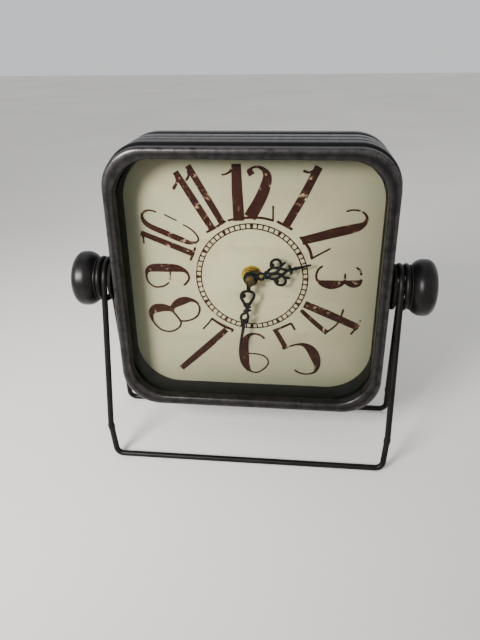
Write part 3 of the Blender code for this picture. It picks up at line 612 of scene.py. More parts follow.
def bare_metal(name, low, high, roughness, scale=320):
    s = Shader(name)
    grain = s.noise(scale, 5, 0.7)
    colour = s.mix(s.ramp(grain, (0.35, 0.0), (0.7, 1.0)), low, high)
    s.bump(s.noise(scale * 6, 2), 0.00003, 0.3)
    return s.set(colour=colour, roughness=s.spread(grain, roughness - 0.08, roughness + 0.12), metallic=1.0)


def plastic(name, low, high, roughness, scale=900):
    s = Shader(name)
    grain = s.noise(scale, 4, 0.6)
    s.bump(grain, 0.00005, 0.4)
    colour = s.mix(s.noise(45, 4), low, high)
    return s.set(colour=colour, roughness=s.spread(grain, roughness - 0.06, roughness + 0.08), specular=0.4)


def wound_copper():
    s = Shader("wound_copper")
    turns = s.wave(1200, "X", 0.4)
    s.bump(turns, 0.0001, 0.8)
    colour = s.mix(turns, (0.22, 0.07, 0.03), (0.62, 0.26, 0.12))
    return s.set(colour=colour, roughness=s.spread(turns, 0.3, 0.5), metallic=0.9)


def circuit_laminate():
    s = Shader("circuit_laminate")
    tracks = s.ramp(s.wave(160, "Z", 2.5), (0.55, 0.0), (0.62, 1.0))
    colour = s.mix(tracks, (0.015, 0.10, 0.035), (0.03, 0.19, 0.07))
    s.bump(tracks, 0.00004, 0.6)
    return s.set(colour=colour, roughness=s.spread(s.noise(300, 3), 0.3, 0.45), coat=0.3)


def battery_sleeve():
    """Dark sleeve with a copper-coloured band at the positive end and bare steel ends."""
    s = Shader("battery_sleeve")
    along = s.axis("X")
    band = s.ramp(s.spread(along, 0.0, 1.0, 0.008, 0.0085), (0.4, 0.0), (0.6, 1.0))
    ends = s.math("GREATER_THAN", s.math("ABSOLUTE", along), 0.0246)
    sleeve = s.mix(band, (0.018, 0.018, 0.022), (0.36, 0.15, 0.05))
    scuffed = s.mix(s.ramp(s.noise(260, 6, 0.75), (0.62, 0.0), (0.8, 0.35)), sleeve, (0.3, 0.3, 0.3))
    colour = s.mix(ends, scuffed, (0.55, 0.55, 0.54))
    rough = s.spread(s.noise(120, 3), 0.22, 0.36)
    return s.set(colour=colour, roughness=rough, metallic=s.spread(ends, 0.2, 1.0))


def pale_cloth():
    s = Shader("pale_cloth")
    # Painted shade: broad lighter and darker patches stand in for the shading of folds in the cloth.
    painted_fold_shade = s.noise(2.2, 3, 0.5)
    colour = s.mix(s.ramp(painted_fold_shade, (0.3, 0.0), (0.75, 1.0)), (0.75, 0.72, 0.68), (0.83, 0.80, 0.76))
    s.bump(s.noise(700, 3), 0.0003, 0.15)
    return s.set(colour=colour, roughness=s.spread(s.noise(6, 2), 0.8, 0.92), specular=0.2)


def build_materials():
    return {
        "case": rubbed_paint(
            "case_paint", (0.0034, 0.0031, 0.0032), (0.0072, 0.0066, 0.0068), (0.062, 0.056, 0.056), 0.36, 0.8
        ),
        "wire": rubbed_paint(
            "stand_paint", (0.006, 0.0053, 0.005), (0.013, 0.0115, 0.011), (0.05, 0.043, 0.04), 0.42, 0.35
        ),
        "knob": rubbed_paint(
            "knob_paint", (0.007, 0.0066, 0.0066), (0.015, 0.014, 0.014), (0.06, 0.053, 0.051), 0.34, 0.6
        ),
        "boss": black_paint(),
        "hands": lacquer(),
        "paper": aged_paper_and_painted_shade(),
        "ink": worn_ink(),
        "glass": glass(),
        "spacer": inner_black(),
        "board": fibre_board(),
        "brass": bare_metal("dull_brass", (0.34, 0.22, 0.07), (0.66, 0.47, 0.17), 0.34),
        "cap": bare_metal("browned_brass", (0.035, 0.024, 0.008), (0.22, 0.155, 0.06), 0.5, 900),
        "bright_brass": bare_metal("bright_brass", (0.58, 0.38, 0.045), (0.84, 0.62, 0.11), 0.22, 160),
        "zinc": bare_metal("zinc_plate", (0.42, 0.42, 0.40), (0.68, 0.68, 0.65), 0.34),
        "steel": bare_metal("plain_steel", (0.34, 0.34, 0.34), (0.58, 0.58, 0.58), 0.32),
        "magnet": bare_metal("sintered_magnet", (0.10, 0.10, 0.11), (0.20, 0.20, 0.21), 0.5, 900),
        "rubber": plastic("black_rubber", (0.012, 0.012, 0.012), (0.03, 0.03, 0.029), 0.8, 1500),
        "moulding": plastic("black_moulding", (0.012, 0.012, 0.013), (0.024, 0.024, 0.025), 0.5),
        "acetal": plastic("white_acetal", (0.66, 0.64, 0.57), (0.78, 0.76, 0.69), 0.42),
        "copper": wound_copper(),
        "laminate": circuit_laminate(),
        "battery": battery_sleeve(),
        "cloth": pale_cloth(),
    }


# ---------------------------------------------------------------- case

def arc(centre_inset, centre_depth, radius, first, last, steps):
    """Points (inset, depth) round a rounded edge. 0 degrees faces outwards and 90 the viewer."""
    points = []
    for step in range(steps + 1):
        angle = math.radians(first + (last - first) * step / steps)
        points.append((centre_inset - radius * math.cos(angle), centre_depth - radius * math.sin(angle)))
    return points


def build_bezel(look):
    def section(inset, depth, wear=0.0):
        return (BEZEL_HALF - inset, BEZEL_RADIUS - inset / LIP_INSET, depth, wear)

    edge = (EDGE_ROUND, BEZEL_FRONT + EDGE_ROUND)
    lip = (LIP_INSET - LIP_ROUND, BEZEL_FRONT + LIP_ROUND)
    outer = arc(*edge, EDGE_ROUND, 0, 90, 8)
    inner = arc(*lip, LIP_ROUND, 90, 180, 7)
    sections = [section(0, BEZEL_REAR), section(0, BEZEL_FRONT + EDGE_ROUND + 1.5)]
    sections += [section(*spot, 1.0 - abs(place - 5) / 6) for place, spot in enumerate(outer)]
    sections.append(section(4.6, BEZEL_FRONT - 0.25, 0.1))
    sections += [section(*spot, 0.35) for spot in inner]
    sections.append(section(LIP_INSET, LIP_REAR, 0.15))
    sections.append(section(LIP_INSET - SHEET, LIP_REAR))
    sections += [section(*spot) for spot in arc(*lip, LIP_ROUND - SHEET, 180, 90, 4)]
    sections += [section(*spot) for spot in arc(*edge, EDGE_ROUND - SHEET, 90, 0, 4)]
    sections.append(section(SHEET, BEZEL_REAR))
    bezel = lofted_frame("bezel_rolled", sections)
    add_piece(bezel, look["case"], "case", "case_steel", "front_bezel")


def groove(middle, steps=10):
    """A rounded groove as (inset, depth) pairs."""
    points = []
    for step in range(steps + 1):
        t = 2 * step / steps - 1
        points.append((GROOVE_INSET * (1 + math.cos(math.pi * t)) / 2, middle + GROOVE_REACH * t))
    return points


def build_band(look):
    skin = [(4.0, -16.0), (4.0, -10.8), (3.4, -9.6), (1.4, -7.6), (0.4, -6.5), (0.0, -5.2), (0.0, 3.6)]
    skin += groove(6.5)
    skin += [(0.0, 9.4), (0.0, 18.1)]
    skin += groove(21.0)
    skin += [(0.0, 23.9), (0.0, 33.2), (0.5, 34.6), (2.3, 36.8), (3.0, 38.0), (3.0, 40.0), (2.3, 41.2)]
    skin += [(0.5, 43.4), (0.0, 44.8), (0.0, 52.5), (0.3, 53.8), (1.1, 55.2), (2.0, BAND_REAR)]
    lining = [(inset + SHEET, depth) for inset, depth in reversed(skin) if depth < FLANGE_FRONT]
    flange = [
        (2.0 + SHEET, BAND_REAR), (SHEET, FLANGE_REAR), (FLANGE_WIDTH, FLANGE_REAR),
        (FLANGE_WIDTH, FLANGE_FRONT), (SHEET, FLANGE_FRONT),
    ]

    def section(inset, depth):
        on_ridge = 0.22 if inset < 0.3 and depth < BAND_REAR else 0.0
        return (BAND_HALF - inset, BAND_RADIUS - inset, depth, on_ridge)

    band = lofted_frame("band_ribbed", [section(*pair) for pair in skin + flange + lining])
    reach = BAND_HALF + 10
    drill = [(0, reach, 0), (STUD_BORE, reach, 0), (STUD_BORE, -reach, 0), (0, -reach, 0)]
    band = cut(band, turned("stud_holes", drill, (1, 0, 0), steps=32))
    for x, z in screw_places():
        hole = plate("screw_hole", [circle(SCREW_HOLE, 24, x, z)], FLANGE_FRONT - 3, FLANGE_REAR + 3)
        band = cut(band, hole)
    add_piece(band, look["case"], "case", "case_steel", "case_band")


def build_spacer(look):
    inner = SPACER_HALF
    sections = [
        (INSERT_HALF, INSERT_RADIUS, SPACER_FRONT, 0.0),
        (inner + 0.4, SPACER_RADIUS, SPACER_FRONT, 0.0),
        (inner, SPACER_RADIUS, SPACER_FRONT + 0.4, 0.0),
        (inner, SPACER_RADIUS, SPACER_REAR, 0.0),
        (INSERT_HALF, INSERT_RADIUS, SPACER_REAR, 0.0),
    ]
    add_piece(lofted_frame("spacer_wall", sections), look["spacer"], "case", "spacer_black", "dial_spacer")


def screw_places():
    return [(sx * SCREW_AT, sz * SCREW_AT) for sx in (-1, 1) for sz in (1, -1)]


def build_back(look):
    outlines = [rounded_square(BACK_HALF, BACK_RADIUS), rounded_square(WINDOW_HALF, WINDOW_RADIUS, 8)]
    outlines += [circle(SCREW_HOLE, 24, x, z) for x, z in screw_places()]
    cover = plate("back_board", outlines, BACK_NEAR, BACK_FAR)
    add_piece(cover, look["board"], "case", "back_board", "back_cover")
    for number, (x, z) in enumerate(screw_places(), 1):
        head = cross_head(f"screw_{number}", (x, 0.0, z))
        add_piece(head, look["zinc"], "case", "zinc_screw", f"back_screw_{number}")


def cross_head(name, place):
    """A pan head screw with a cross recess."""
    rim, crown = SCREW_HEAD_NEAR, SCREW_HEAD_FAR
    head = turned(
        name,
        [
            (0, FLANGE_FRONT - 2.8, 0), (1.4, FLANGE_FRONT - 2.2, 0), (1.4, rim, 0), (SCREW_HEAD, rim, 0),
            (SCREW_HEAD, rim + 0.7, 0), (SCREW_HEAD * 0.86, rim + 1.3, 0),
            (SCREW_HEAD * 0.6, crown - 0.12, 0), (0, crown, 0),
        ],
        (0, 1, 0),
        place,
        32,
    )
    arm, half = 1.9, 0.33
    cross = [
        (half, arm), (-half, arm), (-half, half), (-arm, half), (-arm, -half), (-half, -half),
        (-half, -arm), (half, -arm), (half, -half), (arm, -half), (arm, half), (half, half),
    ]
    cutter = plate("cross", [[(x + place[0], z + place[2]) for x, z in cross]], crown - 0.9, crown + 1.0)
    return cut(head, cutter)


# ---------------------------------------------------------------- pivots and clamp knobs

def build_stud(look, axis, name):
    thread = []
    for ridge in range(THREAD_RIDGES):
        base = STUD_END - STUD_CHAMFER - ridge * THREAD_PITCH
        thread += [(STUD_RADIUS, base, 0), (STUD_RADIUS - THREAD_DEPTH, base - THREAD_PITCH / 2, 0)]
    shank = STUD_END - STUD_CHAMFER - THREAD_RIDGES * THREAD_PITCH
    stud = [(0, STUD_END, 0), (STUD_RADIUS - 0.7, STUD_END, 0)] + thread
    stud += [(STUD_RADIUS, shank, 0), (STUD_RADIUS, STUD_HEAD_FAR, 0), (STUD_HEAD, STUD_HEAD_FAR, 0)]
    stud += [(STUD_HEAD, STUD_HEAD_NEAR, 0), (0, STUD_HEAD_NEAR, 0)]
    piece = turned(f"{name}_threaded_stud", stud, axis)
    add_piece(piece, look["steel"], "case", "stud_steel", f"{name}_stud")


def build_boss(look, axis, name):
    boss = [
        (STUD_BORE, BOSS_FAR, 0), (BOSS_RADIUS - 0.8, BOSS_FAR, 0), (BOSS_RADIUS - 0.2, BOSS_FAR - 0.25, 0),
        (BOSS_RADIUS, BOSS_FAR - 0.8, 0), (BOSS_RADIUS, BOSS_NEAR, 0), (STUD_BORE, BOSS_NEAR, 0),
    ]
    add_piece(turned(f"{name}_round_boss", boss, axis), look["boss"], "case", "boss_black", f"{name}_boss")


def build_clamp_washer(look, axis, name):
    washer = [
        (STUD_BORE, WASHER_FAR, 0),
        (WASHER_RADIUS - 0.4, WASHER_FAR, 0.3),
        (WASHER_RADIUS, WASHER_FAR - 0.4, 0.6),
        (WASHER_RADIUS, WASHER_NEAR + 0.4, 0.6),
        (WASHER_RADIUS - 0.4, WASHER_NEAR, 0.3),
        (STUD_BORE, WASHER_NEAR, 0),
    ]
    piece = turned(f"{name}_washer_disc", washer, axis)
    add_piece(piece, look["wire"], f"{name}_washer", "wire_black", f"{name}_clamp_washer")


def build_knob(look, axis, name):
    outer = smooth_line(
        [
            (0, KNOB_END), (9.0, KNOB_END - 0.15), (15.0, KNOB_END - 0.7),
            (KNOB_RADIUS - 4.3, KNOB_END - 2.1), (KNOB_RADIUS - 1.3, KNOB_END - 4.6),
            (KNOB_RADIUS, KNOB_END - 7.6), (KNOB_RADIUS, KNOB_BASE + 7.4),
            (KNOB_RADIUS - 1.0, KNOB_BASE + 4.2), (KNOB_RADIUS - 2.8, KNOB_BASE + 1.7),
            (WASHER_RADIUS, KNOB_BASE),
        ],
        6,
    )
    sleeve_end = KNOB_END - 3.7
    profile = []
    for radius, distance in outer:
        worn = max(0.0, 1.0 - abs(distance - KNOB_END + 4.6) / 4.0)
        profile.append((max(radius, 0.0), min(distance, KNOB_END), 0.08 + 0.45 * worn))
    profile += [(INSERT_POCKET, KNOB_BASE, 0), (INSERT_POCKET, sleeve_end, 0), (0, sleeve_end, 0)]
    knob = turned(f"{name}_turned_knob", profile, axis, steps=96)
    add_piece(knob, look["knob"], f"{name}_knob", "knob_steel", f"{name}_clamp_knob")


def build_clamp(look, side, name):
    axis = (side, 0, 0)
    build_stud(look, axis, name)
    build_boss(look, axis, name)
    build_clamp_washer(look, axis, name)
    build_knob(look, axis, name)


# ---------------------------------------------------------------- stand

def coil_tangent(side_y):
    """Where a leg meets its coil, as Y and Z from the tilt axis. side_y is -1 in front and 1 behind."""
    foot = Vector((side_y * FOOT_REACH, WIRE_RADIUS - PIVOT_HEIGHT))
    swing = math.acos(COIL_RADIUS / foot.length)
    angle = math.atan2(foot.y, foot.x) + side_y * swing
    return COIL_RADIUS * math.cos(angle), COIL_RADIUS * math.sin(angle)


def leg_point(side, side_y, x_weld, x_top, height):
    """The middle of a leg's wire at a height, on its way from the weld's X to the top's."""
    top_y, top_z = coil_tangent(side_y)
    top_z += PIVOT_HEIGHT
    share = (height - WIRE_RADIUS) / (top_z - WIRE_RADIUS)
    y = side_y * FOOT_REACH + share * (top_y - side_y * FOOT_REACH)
    climb = (height - WELD_HEIGHT) / (top_z - WELD_HEIGHT)
    return Vector((side * (x_weld + climb * (x_top - x_weld)), y + PIVOT_Y, height))


def bend(corner, before, after, radius, steps=12):
    """Points round a bend of the wire, in place of a sharp corner."""
    incoming = (before - corner).normalized()
    outgoing = (after - corner).normalized()
    half_angle = incoming.angle(outgoing) / 2
    reach = radius / math.tan(half_angle)
    centre = corner + (incoming + outgoing).normalized() * radius / math.sin(half_angle)
    start = corner + incoming * reach - centre
    end = corner + outgoing * reach - centre
    return [centre + start.slerp(end, step / steps).normalized() * radius for step in range(steps + 1)]


def even_path(path, spacing):
    """The same path with a point at least every so many millimetres."""
    dense = [path[0]]
    for start, end in zip(path, path[1:]):
        pieces = max(1, round((end - start).length / spacing))
        dense += [start.lerp(end, piece / pieces) for piece in range(1, pieces + 1)]
    return dense


def weld_share(point):
    """1 in the middle of a weld and 0 away from it, by height."""
    return max(0.0, 1.0 - abs(point.z - WELD_HEIGHT) / 3.6)


def build_foot(look, name, side_y, x_foot, x_weld):
    bar_y = side_y * FOOT_REACH + PIVOT_Y
    corners = [Vector((side * x_foot, bar_y, WIRE_RADIUS)) for side in (-1, 1)]
    ends = [leg_point(side, side_y, x_weld[side], x_weld[side], WELD_HEIGHT + 2.5) for side in (-1, 1)]
    path = [ends[0]]
    path += bend(corners[0], ends[0], corners[1], FOOT_BEND)
    path += bend(corners[1], corners[0], ends[1], FOOT_BEND)
    path.append(ends[1])
    path = even_path(path, 0.8)
    radii, lumps = [], []
    for point in path:
        share = weld_share(point)
        radii.append(WIRE_RADIUS * (1 + 0.17 * math.sin(share * math.pi / 2)))
        lumps.append(0.04 + 0.4 * share)
    wire = tube(f"{name}_foot_bar", path, radii, lumps)
    add_piece(wire, look["wire"], "stand", "wire_black", f"{name}_foot_wire")


def build_hairpin(look, name, side):
    """Front leg, a turn and a half that steps outwards in its last turn, and rear leg."""
    front_y, front_z = coil_tangent(-1)
    rear_y, rear_z = coil_tangent(1)
    start = math.atan2(front_z, front_y)
    over_the_top = start - math.atan2(rear_z, rear_y)
    sweep = over_the_top + 2 * math.pi
    steps = 120
    path = [leg_point(side, -1, FRONT_LEG_X[side], COIL_X, WELD_HEIGHT + 0.3)]
    for step in range(steps + 1):
        turned_by = sweep * step / steps
        angle = start - turned_by
        share = min(max((turned_by - over_the_top) / (2 * math.pi - over_the_top), 0.0), 1.0)
        x = COIL_X + COIL_PITCH * share * share * (3 - 2 * share)
        y = COIL_RADIUS * math.cos(angle) + PIVOT_Y
        z = COIL_RADIUS * math.sin(angle) + PIVOT_HEIGHT
        path.append(Vector((side * x, y, z)))
    path.append(leg_point(side, 1, REAR_LEG_X[side], COIL_X + COIL_PITCH, WELD_HEIGHT + 0.3))
    path = even_path(path, 1.5)
    wire = tube(f"{name}_coil_and_legs", path, [WIRE_RADIUS] * len(path), [0.05] * len(path))
    add_piece(wire, look["wire"], "stand", "wire_black", f"{name}_hairpin_wire")


# ---------------------------------------------------------------- dial print

# Each numeral is pen strokes, and each stroke is points of (x, z, width) from the middle of the dial. The
# points come from a script that measured the photographed numerals, mostly rounded to half a millimetre.
NUMERALS = {
    1: [
        [(53, 94.5, 6.2), (42, 72, 6.7), (29.5, 49, 6.7)],
        [(42.5, 93, 2.1), (46, 92, 1.6), (49.5, 93, 2.1), (52.5, 95.5, 3.6)],
        [(22, 51, 2.1), (28, 48, 2.0), (33.5, 45, 2.3)],
    ],
    2: [
        [(78.5, 61, 1.4), (83, 62, 1.2), (88.5, 61.5, 1.4), (93, 59, 1.6), (95, 55, 2.2), (93, 50.5, 4.0),
         (88, 47.5, 6.7), (80, 45.2, 7.8), (69.5, 42.5, 8.0), (57.5, 39, 7.6), (45, 35.5, 7.1)],
        [(41, 38, 1.4), (47, 31, 2.3), (49.8, 26, 2.3), (51.5, 19.5, 2.3)],
        [(51.5, 19.5, 1.6), (59, 24, 1.3), (66.5, 28.5, 1.4)],
    ],
    3: [
        [(60.5, 12.5, 1.6), (57.5, 9.5, 1.6), (56, 5, 1.7), (56.8, 0, 2.0), (62, -3.6, 5.0), (69, -4.6, 7.4),
         (76, -3.6, 5.4), (80.5, -1.2, 2.7)],
        [(80.5, -1.2, 2.7), (84.5, -2.8, 4.8), (88.5, -3.3, 6.2), (92.2, -2.2, 5.2), (94.4, 0.3, 2.6)],
        [(94, 6, 1.8), (93, 9.5, 1.8), (90, 12, 1.4)],
        [(80.5, 6, 1.2), (80.5, 2.5, 1.8), (80.8, -1, 2.7)],
        [(58.5, -1.6, 2.4), (69, -1.5, 2.5), (79, -1.5, 2.4)],
        [(81.5, -1, 2.2), (87.5, -1, 2.6), (93.5, -0.6, 2.3)],
    ],
    4: [
        [(49, -24.5, 6.7), (70, -33.5, 7.1), (93.5, -44, 6.2)],
        [(45, -30.5, 3.6), (56, -41, 4.1), (67, -50.5, 4.3)],
        [(67, -51, 1.6), (73, -46, 1.6), (77.5, -40.5, 1.5), (79.5, -34.5, 1.4), (81, -28, 1.8)],
        [(89.5, -51.5, 1.6), (93.5, -45, 1.8), (96.5, -38, 1.8)],
    ],
    5: [
        [(39, -49, 1.6), (35.5, -43, 1.8)],
        [(35.5, -43, 1.8), (28, -47, 2.1), (20, -51, 2.1)],
        [(22, -51.5, 4.1), (26.5, -59.5, 4.3), (31, -68, 4.4)],
        [(28.5, -69, 1.8), (35, -66.5, 1.6), (41.5, -64.4, 1.8), (48, -64.6, 4.0), (54.5, -69.5, 8.2),
         (58.8, -77.5, 8.7), (60.8, -86, 5.3), (59, -92.5, 2.3), (54.5, -95, 1.4), (49, -95.5, 1.4),
         (43.5, -94, 1.5), (40.5, -92, 1.7)],
    ],
    6: [
        [(11, -59, 2.0), (7.5, -56.2, 2.0), (2, -55, 1.8), (-3.5, -57.5, 4.0), (-7, -65, 7.6),
         (-7.6, -75, 9.3), (-6.5, -85.5, 8.0), (-3.5, -93, 4.0)],
        [(-4, -92.5, 3.0), (0, -95.6, 1.5), (5.5, -95.8, 1.3), (11, -92, 1.3), (14.8, -87, 1.3),
         (15, -82.5, 1.2), (12, -78.5, 1.2), (5.5, -76.2, 1.2), (-4, -75.8, 1.2)],
    ],
    7: [
        [(-18.5, -53.5, 1.6), (-17.5, -51.5, 1.8)],
        [(-17.5, -51.5, 1.8), (-24, -49, 2.7), (-31, -45, 2.3), (-36.5, -41, 2.0)],
        [(-36.5, -41, 1.4), (-40.5, -46.5, 1.3), (-45, -51.5, 1.5)],
        [(-25, -53, 5.3), (-44, -72, 6.2), (-66.5, -93.5, 5.3)],
    ],
    8: [
        [(-73, -34.5, 1.8), (-69.5, -39, 1.6), (-65.8, -45, 1.6), (-66.5, -49.5, 1.5), (-70.5, -53.5, 1.4),
         (-76.5, -55.8, 1.3), (-84, -54.5, 1.4), (-89, -50, 1.5), (-92.3, -44.5, 2.2)],
        [(-92.3, -44.5, 2.2), (-93, -37.5, 5.0), (-88.5, -32.8, 8.2), (-81.5, -31.5, 7.4), (-75, -32.6, 4.9),
         (-72.5, -34.2, 3.4)],
        [(-74, -33.5, 3.6), (-71.5, -29.5, 5.0), (-66.5, -25.8, 7.4), (-60.5, -23.4, 6.8), (-55, -23, 3.6),
         (-50.5, -24.8, 2.0), (-48, -28.5, 1.8), (-47.6, -33, 1.7), (-49.8, -38.5, 1.6), (-55, -42.5, 1.5),
         (-61.5, -44.4, 1.5), (-65.8, -44.4, 1.5)],
    ],
    9: [
        [(-60.5, -8.5, 1.8), (-58, -6, 1.8), (-55.8, -2, 1.8), (-56.8, 2.5, 2.0), (-60, 5.5, 3.6),
         (-66, 7.2, 6.5), (-76.5, 7.5, 7.6), (-88, 7, 7.0), (-92.8, 4.5, 4.0), (-94.2, 0, 1.8),
         (-93.6, -5, 1.5), (-90.5, -9.2, 1.4), (-85.5, -11.3, 1.4), (-79, -10, 1.4), (-74.5, -6.8, 1.3)],
        [(-73, -3.5, 1.3), (-72.5, 0, 1.3), (-72.5, 5, 1.3)],
    ],
    10: [
        [(-94.5, 38.5, 4.4), (-79.5, 32.5, 4.9), (-52, 21.5, 5.3)],
        [(-49, 26.5, 1.6), (-51, 21, 2.1), (-53.5, 15.5, 1.8)],
        [(-94.5, 38.5, 2.7), (-94, 34, 1.3), (-94, 30, 1.3)],
        [(-81, 57.5, 1.1), (-86, 59, 1.4), (-91, 58, 1.8), (-93.6, 54.5, 2.1), (-92.2, 49.5, 3.6),
         (-87, 45, 4.4), (-74.5, 39.5, 4.9), (-61.5, 34, 4.9), (-53, 31, 3.1), (-47.5, 31.8, 1.6),
         (-45.8, 35, 1.4), (-49, 40.5, 1.2), (-54, 44.6, 1.0), (-58.5, 47, 0.9)],
        [(-64, 50.5, 0.9), (-69, 53, 1.0), (-74, 55.5, 0.9)],
    ],
    11: [
        [(-61.5, 90, 4.9), (-48.5, 68.5, 5.8), (-34.5, 45.5, 5.8)],
        [(-62, 89, 2.7), (-61.5, 83.5, 2.0), (-64.5, 78, 2.5)],
        [(-51, 95, 4.9), (-38.5, 73, 5.3), (-26, 51, 5.3)],
        [(-51.5, 92.5, 2.7), (-51.5, 88.5, 1.8), (-53.5, 85, 1.8)],
        [(-38, 41, 1.8), (-30, 45.5, 2.0), (-22.5, 50.5, 1.8)],
    ],
    12: [
        [(-12.2, 95.6, 7.6), (-11.8, 77, 8.7), (-10.7, 54.5, 9.2)],
        [(-12.5, 95.5, 4.4), (-17.5, 92, 2.0), (-20, 90.4, 1.4), (-23.5, 89.5, 1.6)],
        [(-1, 92, 4.6), (-0.4, 91, 4.8)],
        [(-2.4, 93.2, 2.0), (1.5, 95.5, 1.6), (5.5, 96, 1.9), (9.5, 94, 3.6), (13, 88.5, 6.8),
         (10.5, 77.5, 8.9), (5.5, 66.5, 9.6), (0.3, 57.5, 10.2)],
        [(-19.5, 51.5, 1.6), (-13, 53, 1.8), (-4, 54, 1.9), (6, 54.2, 1.9), (12, 53.5, 1.8), (18, 52, 1.8)],
        [(18, 52, 1.4), (18, 58.5, 1.2), (18, 64, 1.4)],
    ],
}


def build_numerals(look):
    for hour, strokes in NUMERALS.items():
        outlines = [stroke_outline(stroke, INK_SPREAD, SQUARE_END) for stroke in strokes]
        pieces = [flat_plate([outline], INK_FRONT, INK_REAR) for outline in outlines]
        add_piece(union(f"numeral_{hour}", pieces), look["ink"], "case", "dial_paper")


def build_minute_track(look):
    """Two thin rings with a tick at every minute and a filled block at every fifth."""
    pieces = []
    for outer in (RING_OUTER, RING_INNER + RING_LINE):
        rings = [circle(outer, 120), circle(outer - RING_LINE, 120)]
        pieces.append(flat_plate(rings, INK_FRONT, INK_REAR))
    inner, outer = RING_INNER + RING_LINE * 0.5, RING_OUTER - RING_LINE * 0.5
    for minute in range(60):
        half, inner_half = BLOCK_HALVES if minute % 5 == 0 else TICK_HALVES
        angle = math.radians(6 * minute)
        along = Vector((math.sin(angle), math.cos(angle)))
        across = Vector((along.y, -along.x))
        outline = [
            along * inner - across * inner_half,
            along * outer - across * half,
            along * outer + across * half,
            along * inner + across * inner_half,
        ]
        pieces.append(flat_plate([[tuple(point) for point in outline]], INK_FRONT + 0.01, INK_REAR - 0.005))
    track = on_case(mesh_object("minute_track", joined(pieces)))
    add_piece(track, look["ink"], "case", "dial_paper")


# ---------------------------------------------------------------- hands and their fixings

# Strokes of the serpentine hands as (distance along the hand, distance across it, width). The minute hand's
# are drawn one by one, from the same script's points, and the hour hand's side strokes are mirrored.
MINUTE_STROKES = [
    [(3.5, 0.8, 3.1), (7, 0.5, 3.1), (10, 0.0, 2.9)],
    [(10.3, 0.0, 1.7), (12.4, 4.5, 1.9), (17, 5.5, 2.1), (21, 3.0, 1.9), (25.3, -0.8, 2.6)],
    [(10.3, 0.0, 1.7), (11, -4.0, 1.7), (14.5, -5.5, 1.7), (19.5, -4.0, 1.9), (25, -1.4, 2.6)],
    [(15.1, 3.5, 3.5), (15.9, 3.5, 3.5)],
    [(23.3, -1.0, 3.5), (27.3, -1.5, 3.1), (30.8, -1.5, 2.8)],
    [(24.8, 1.6, 1.2), (25.3, -4.0, 1.2)],
    [(29.7, 1.1, 1.2), (28.3, -4.5, 1.2)],
    [(30.4, -1.5, 1.7), (33.8, 2.0, 1.7), (37.2, 2.5, 1.7), (41.2, 0.0, 2.2)],
    [(30.4, -1.5, 1.7), (34.8, -3.5, 1.6), (38.8, -2.5, 2.6)],
    [(39.0, -2.5, 4.0), (39.8, -2.3, 4.0)],
    [(39.2, -0.5, 2.9), (47.2, -1.0, 2.2), (58.5, -0.9, 1.7), (67.0, -0.8, 1.1)],
]
HOUR_SIDE_STROKES = [
    [(5.8, 0.6, 1.5), (9.4, 3.1, 1.5), (12.8, 0.4, 1.7)],
    [(13.3, 2.2, 2.0), (14.4, 2.7, 2.0)],
    [(12.6, 0.3, 2.2), (15.2, 2.3, 1.8), (17.8, 4.4, 1.7), (21.2, 5.2, 1.6), (24.6, 4.3, 1.6),
     (28.0, 2.5, 1.6), (32.0, 0.5, 1.7)],
    [(15.2, 2.3, 1.6), (17.6, 0.7, 1.6), (21.0, 0.3, 1.5), (24.0, 0.9, 1.5), (26.4, 3.0, 1.6)],
    [(20.0, 7.2, 2.0), (21.2, 10.5, 1.7), (25.0, 12.0, 1.6), (28.2, 10.2, 1.6), (28.6, 6.9, 1.6),
     (26.8, 3.2, 1.6)],
    [(20.9, 7.1, 3.1), (21.5, 7.7, 3.0)],
    [(28.6, 5.8, 2.4), (32.4, 7.3, 0.9)],
]
HOUR_MIDDLE_STROKES = [
    [(4.5, 0, 2.6), (6.8, 0, 1.9)],
    [(31.4, 0, 1.9), (35, 0, 2.2)],
    [(35, -3.1, 1.9), (35.3, 0, 1.9), (35, 3.1, 1.9)],
    [(35, 0, 2.2), (43, 0, 1.7), (52.5, 0, 0.8)],
    [(39.4, 0, 2.6), (40.4, 0, 2.6)],
]


def swung(stroke, angle):
    """Stroke points turned from the hand's own directions to the dial's, round the shaft."""
    sin, cos = math.sin(math.radians(angle)), math.cos(math.radians(angle))
    points = []
    for along, across, width in stroke:
        points.append((along * sin + across * cos, along * cos - across * sin + SHAFT_RISE, width))
    return points


def build_hand(look, body, strokes, angle, hub, bore, depth):
    rear = depth + HAND_THICKNESS
    pieces = [flat_plate([circle(hub, z=SHAFT_RISE), circle(bore, 32, z=SHAFT_RISE)], depth, rear)]
    outlines = [stroke_outline(swung(stroke, angle), HAND_SPREAD) for stroke in strokes]
    pieces += [flat_plate([outline], depth, rear) for outline in outlines]
    hand = union(f"serpentine_{body}", pieces)
    add_piece(hand, look["hands"], body, "hand_black", f"{body}_hand")


def build_hands(look):
    hour = list(HOUR_MIDDLE_STROKES)
    for stroke in HOUR_SIDE_STROKES:
        hour.append(stroke)
        hour.append([(along, -across, width) for along, across, width in stroke])
    build_hand(look, "hour", hour, HOUR_ANGLE, HOUR_HUB, HOUR_BORE, HOUR_DEPTH)
    build_hand(look, "minute", MINUTE_STROKES, MINUTE_ANGLE, MINUTE_HUB, MINUTE_BORE, MINUTE_DEPTH)


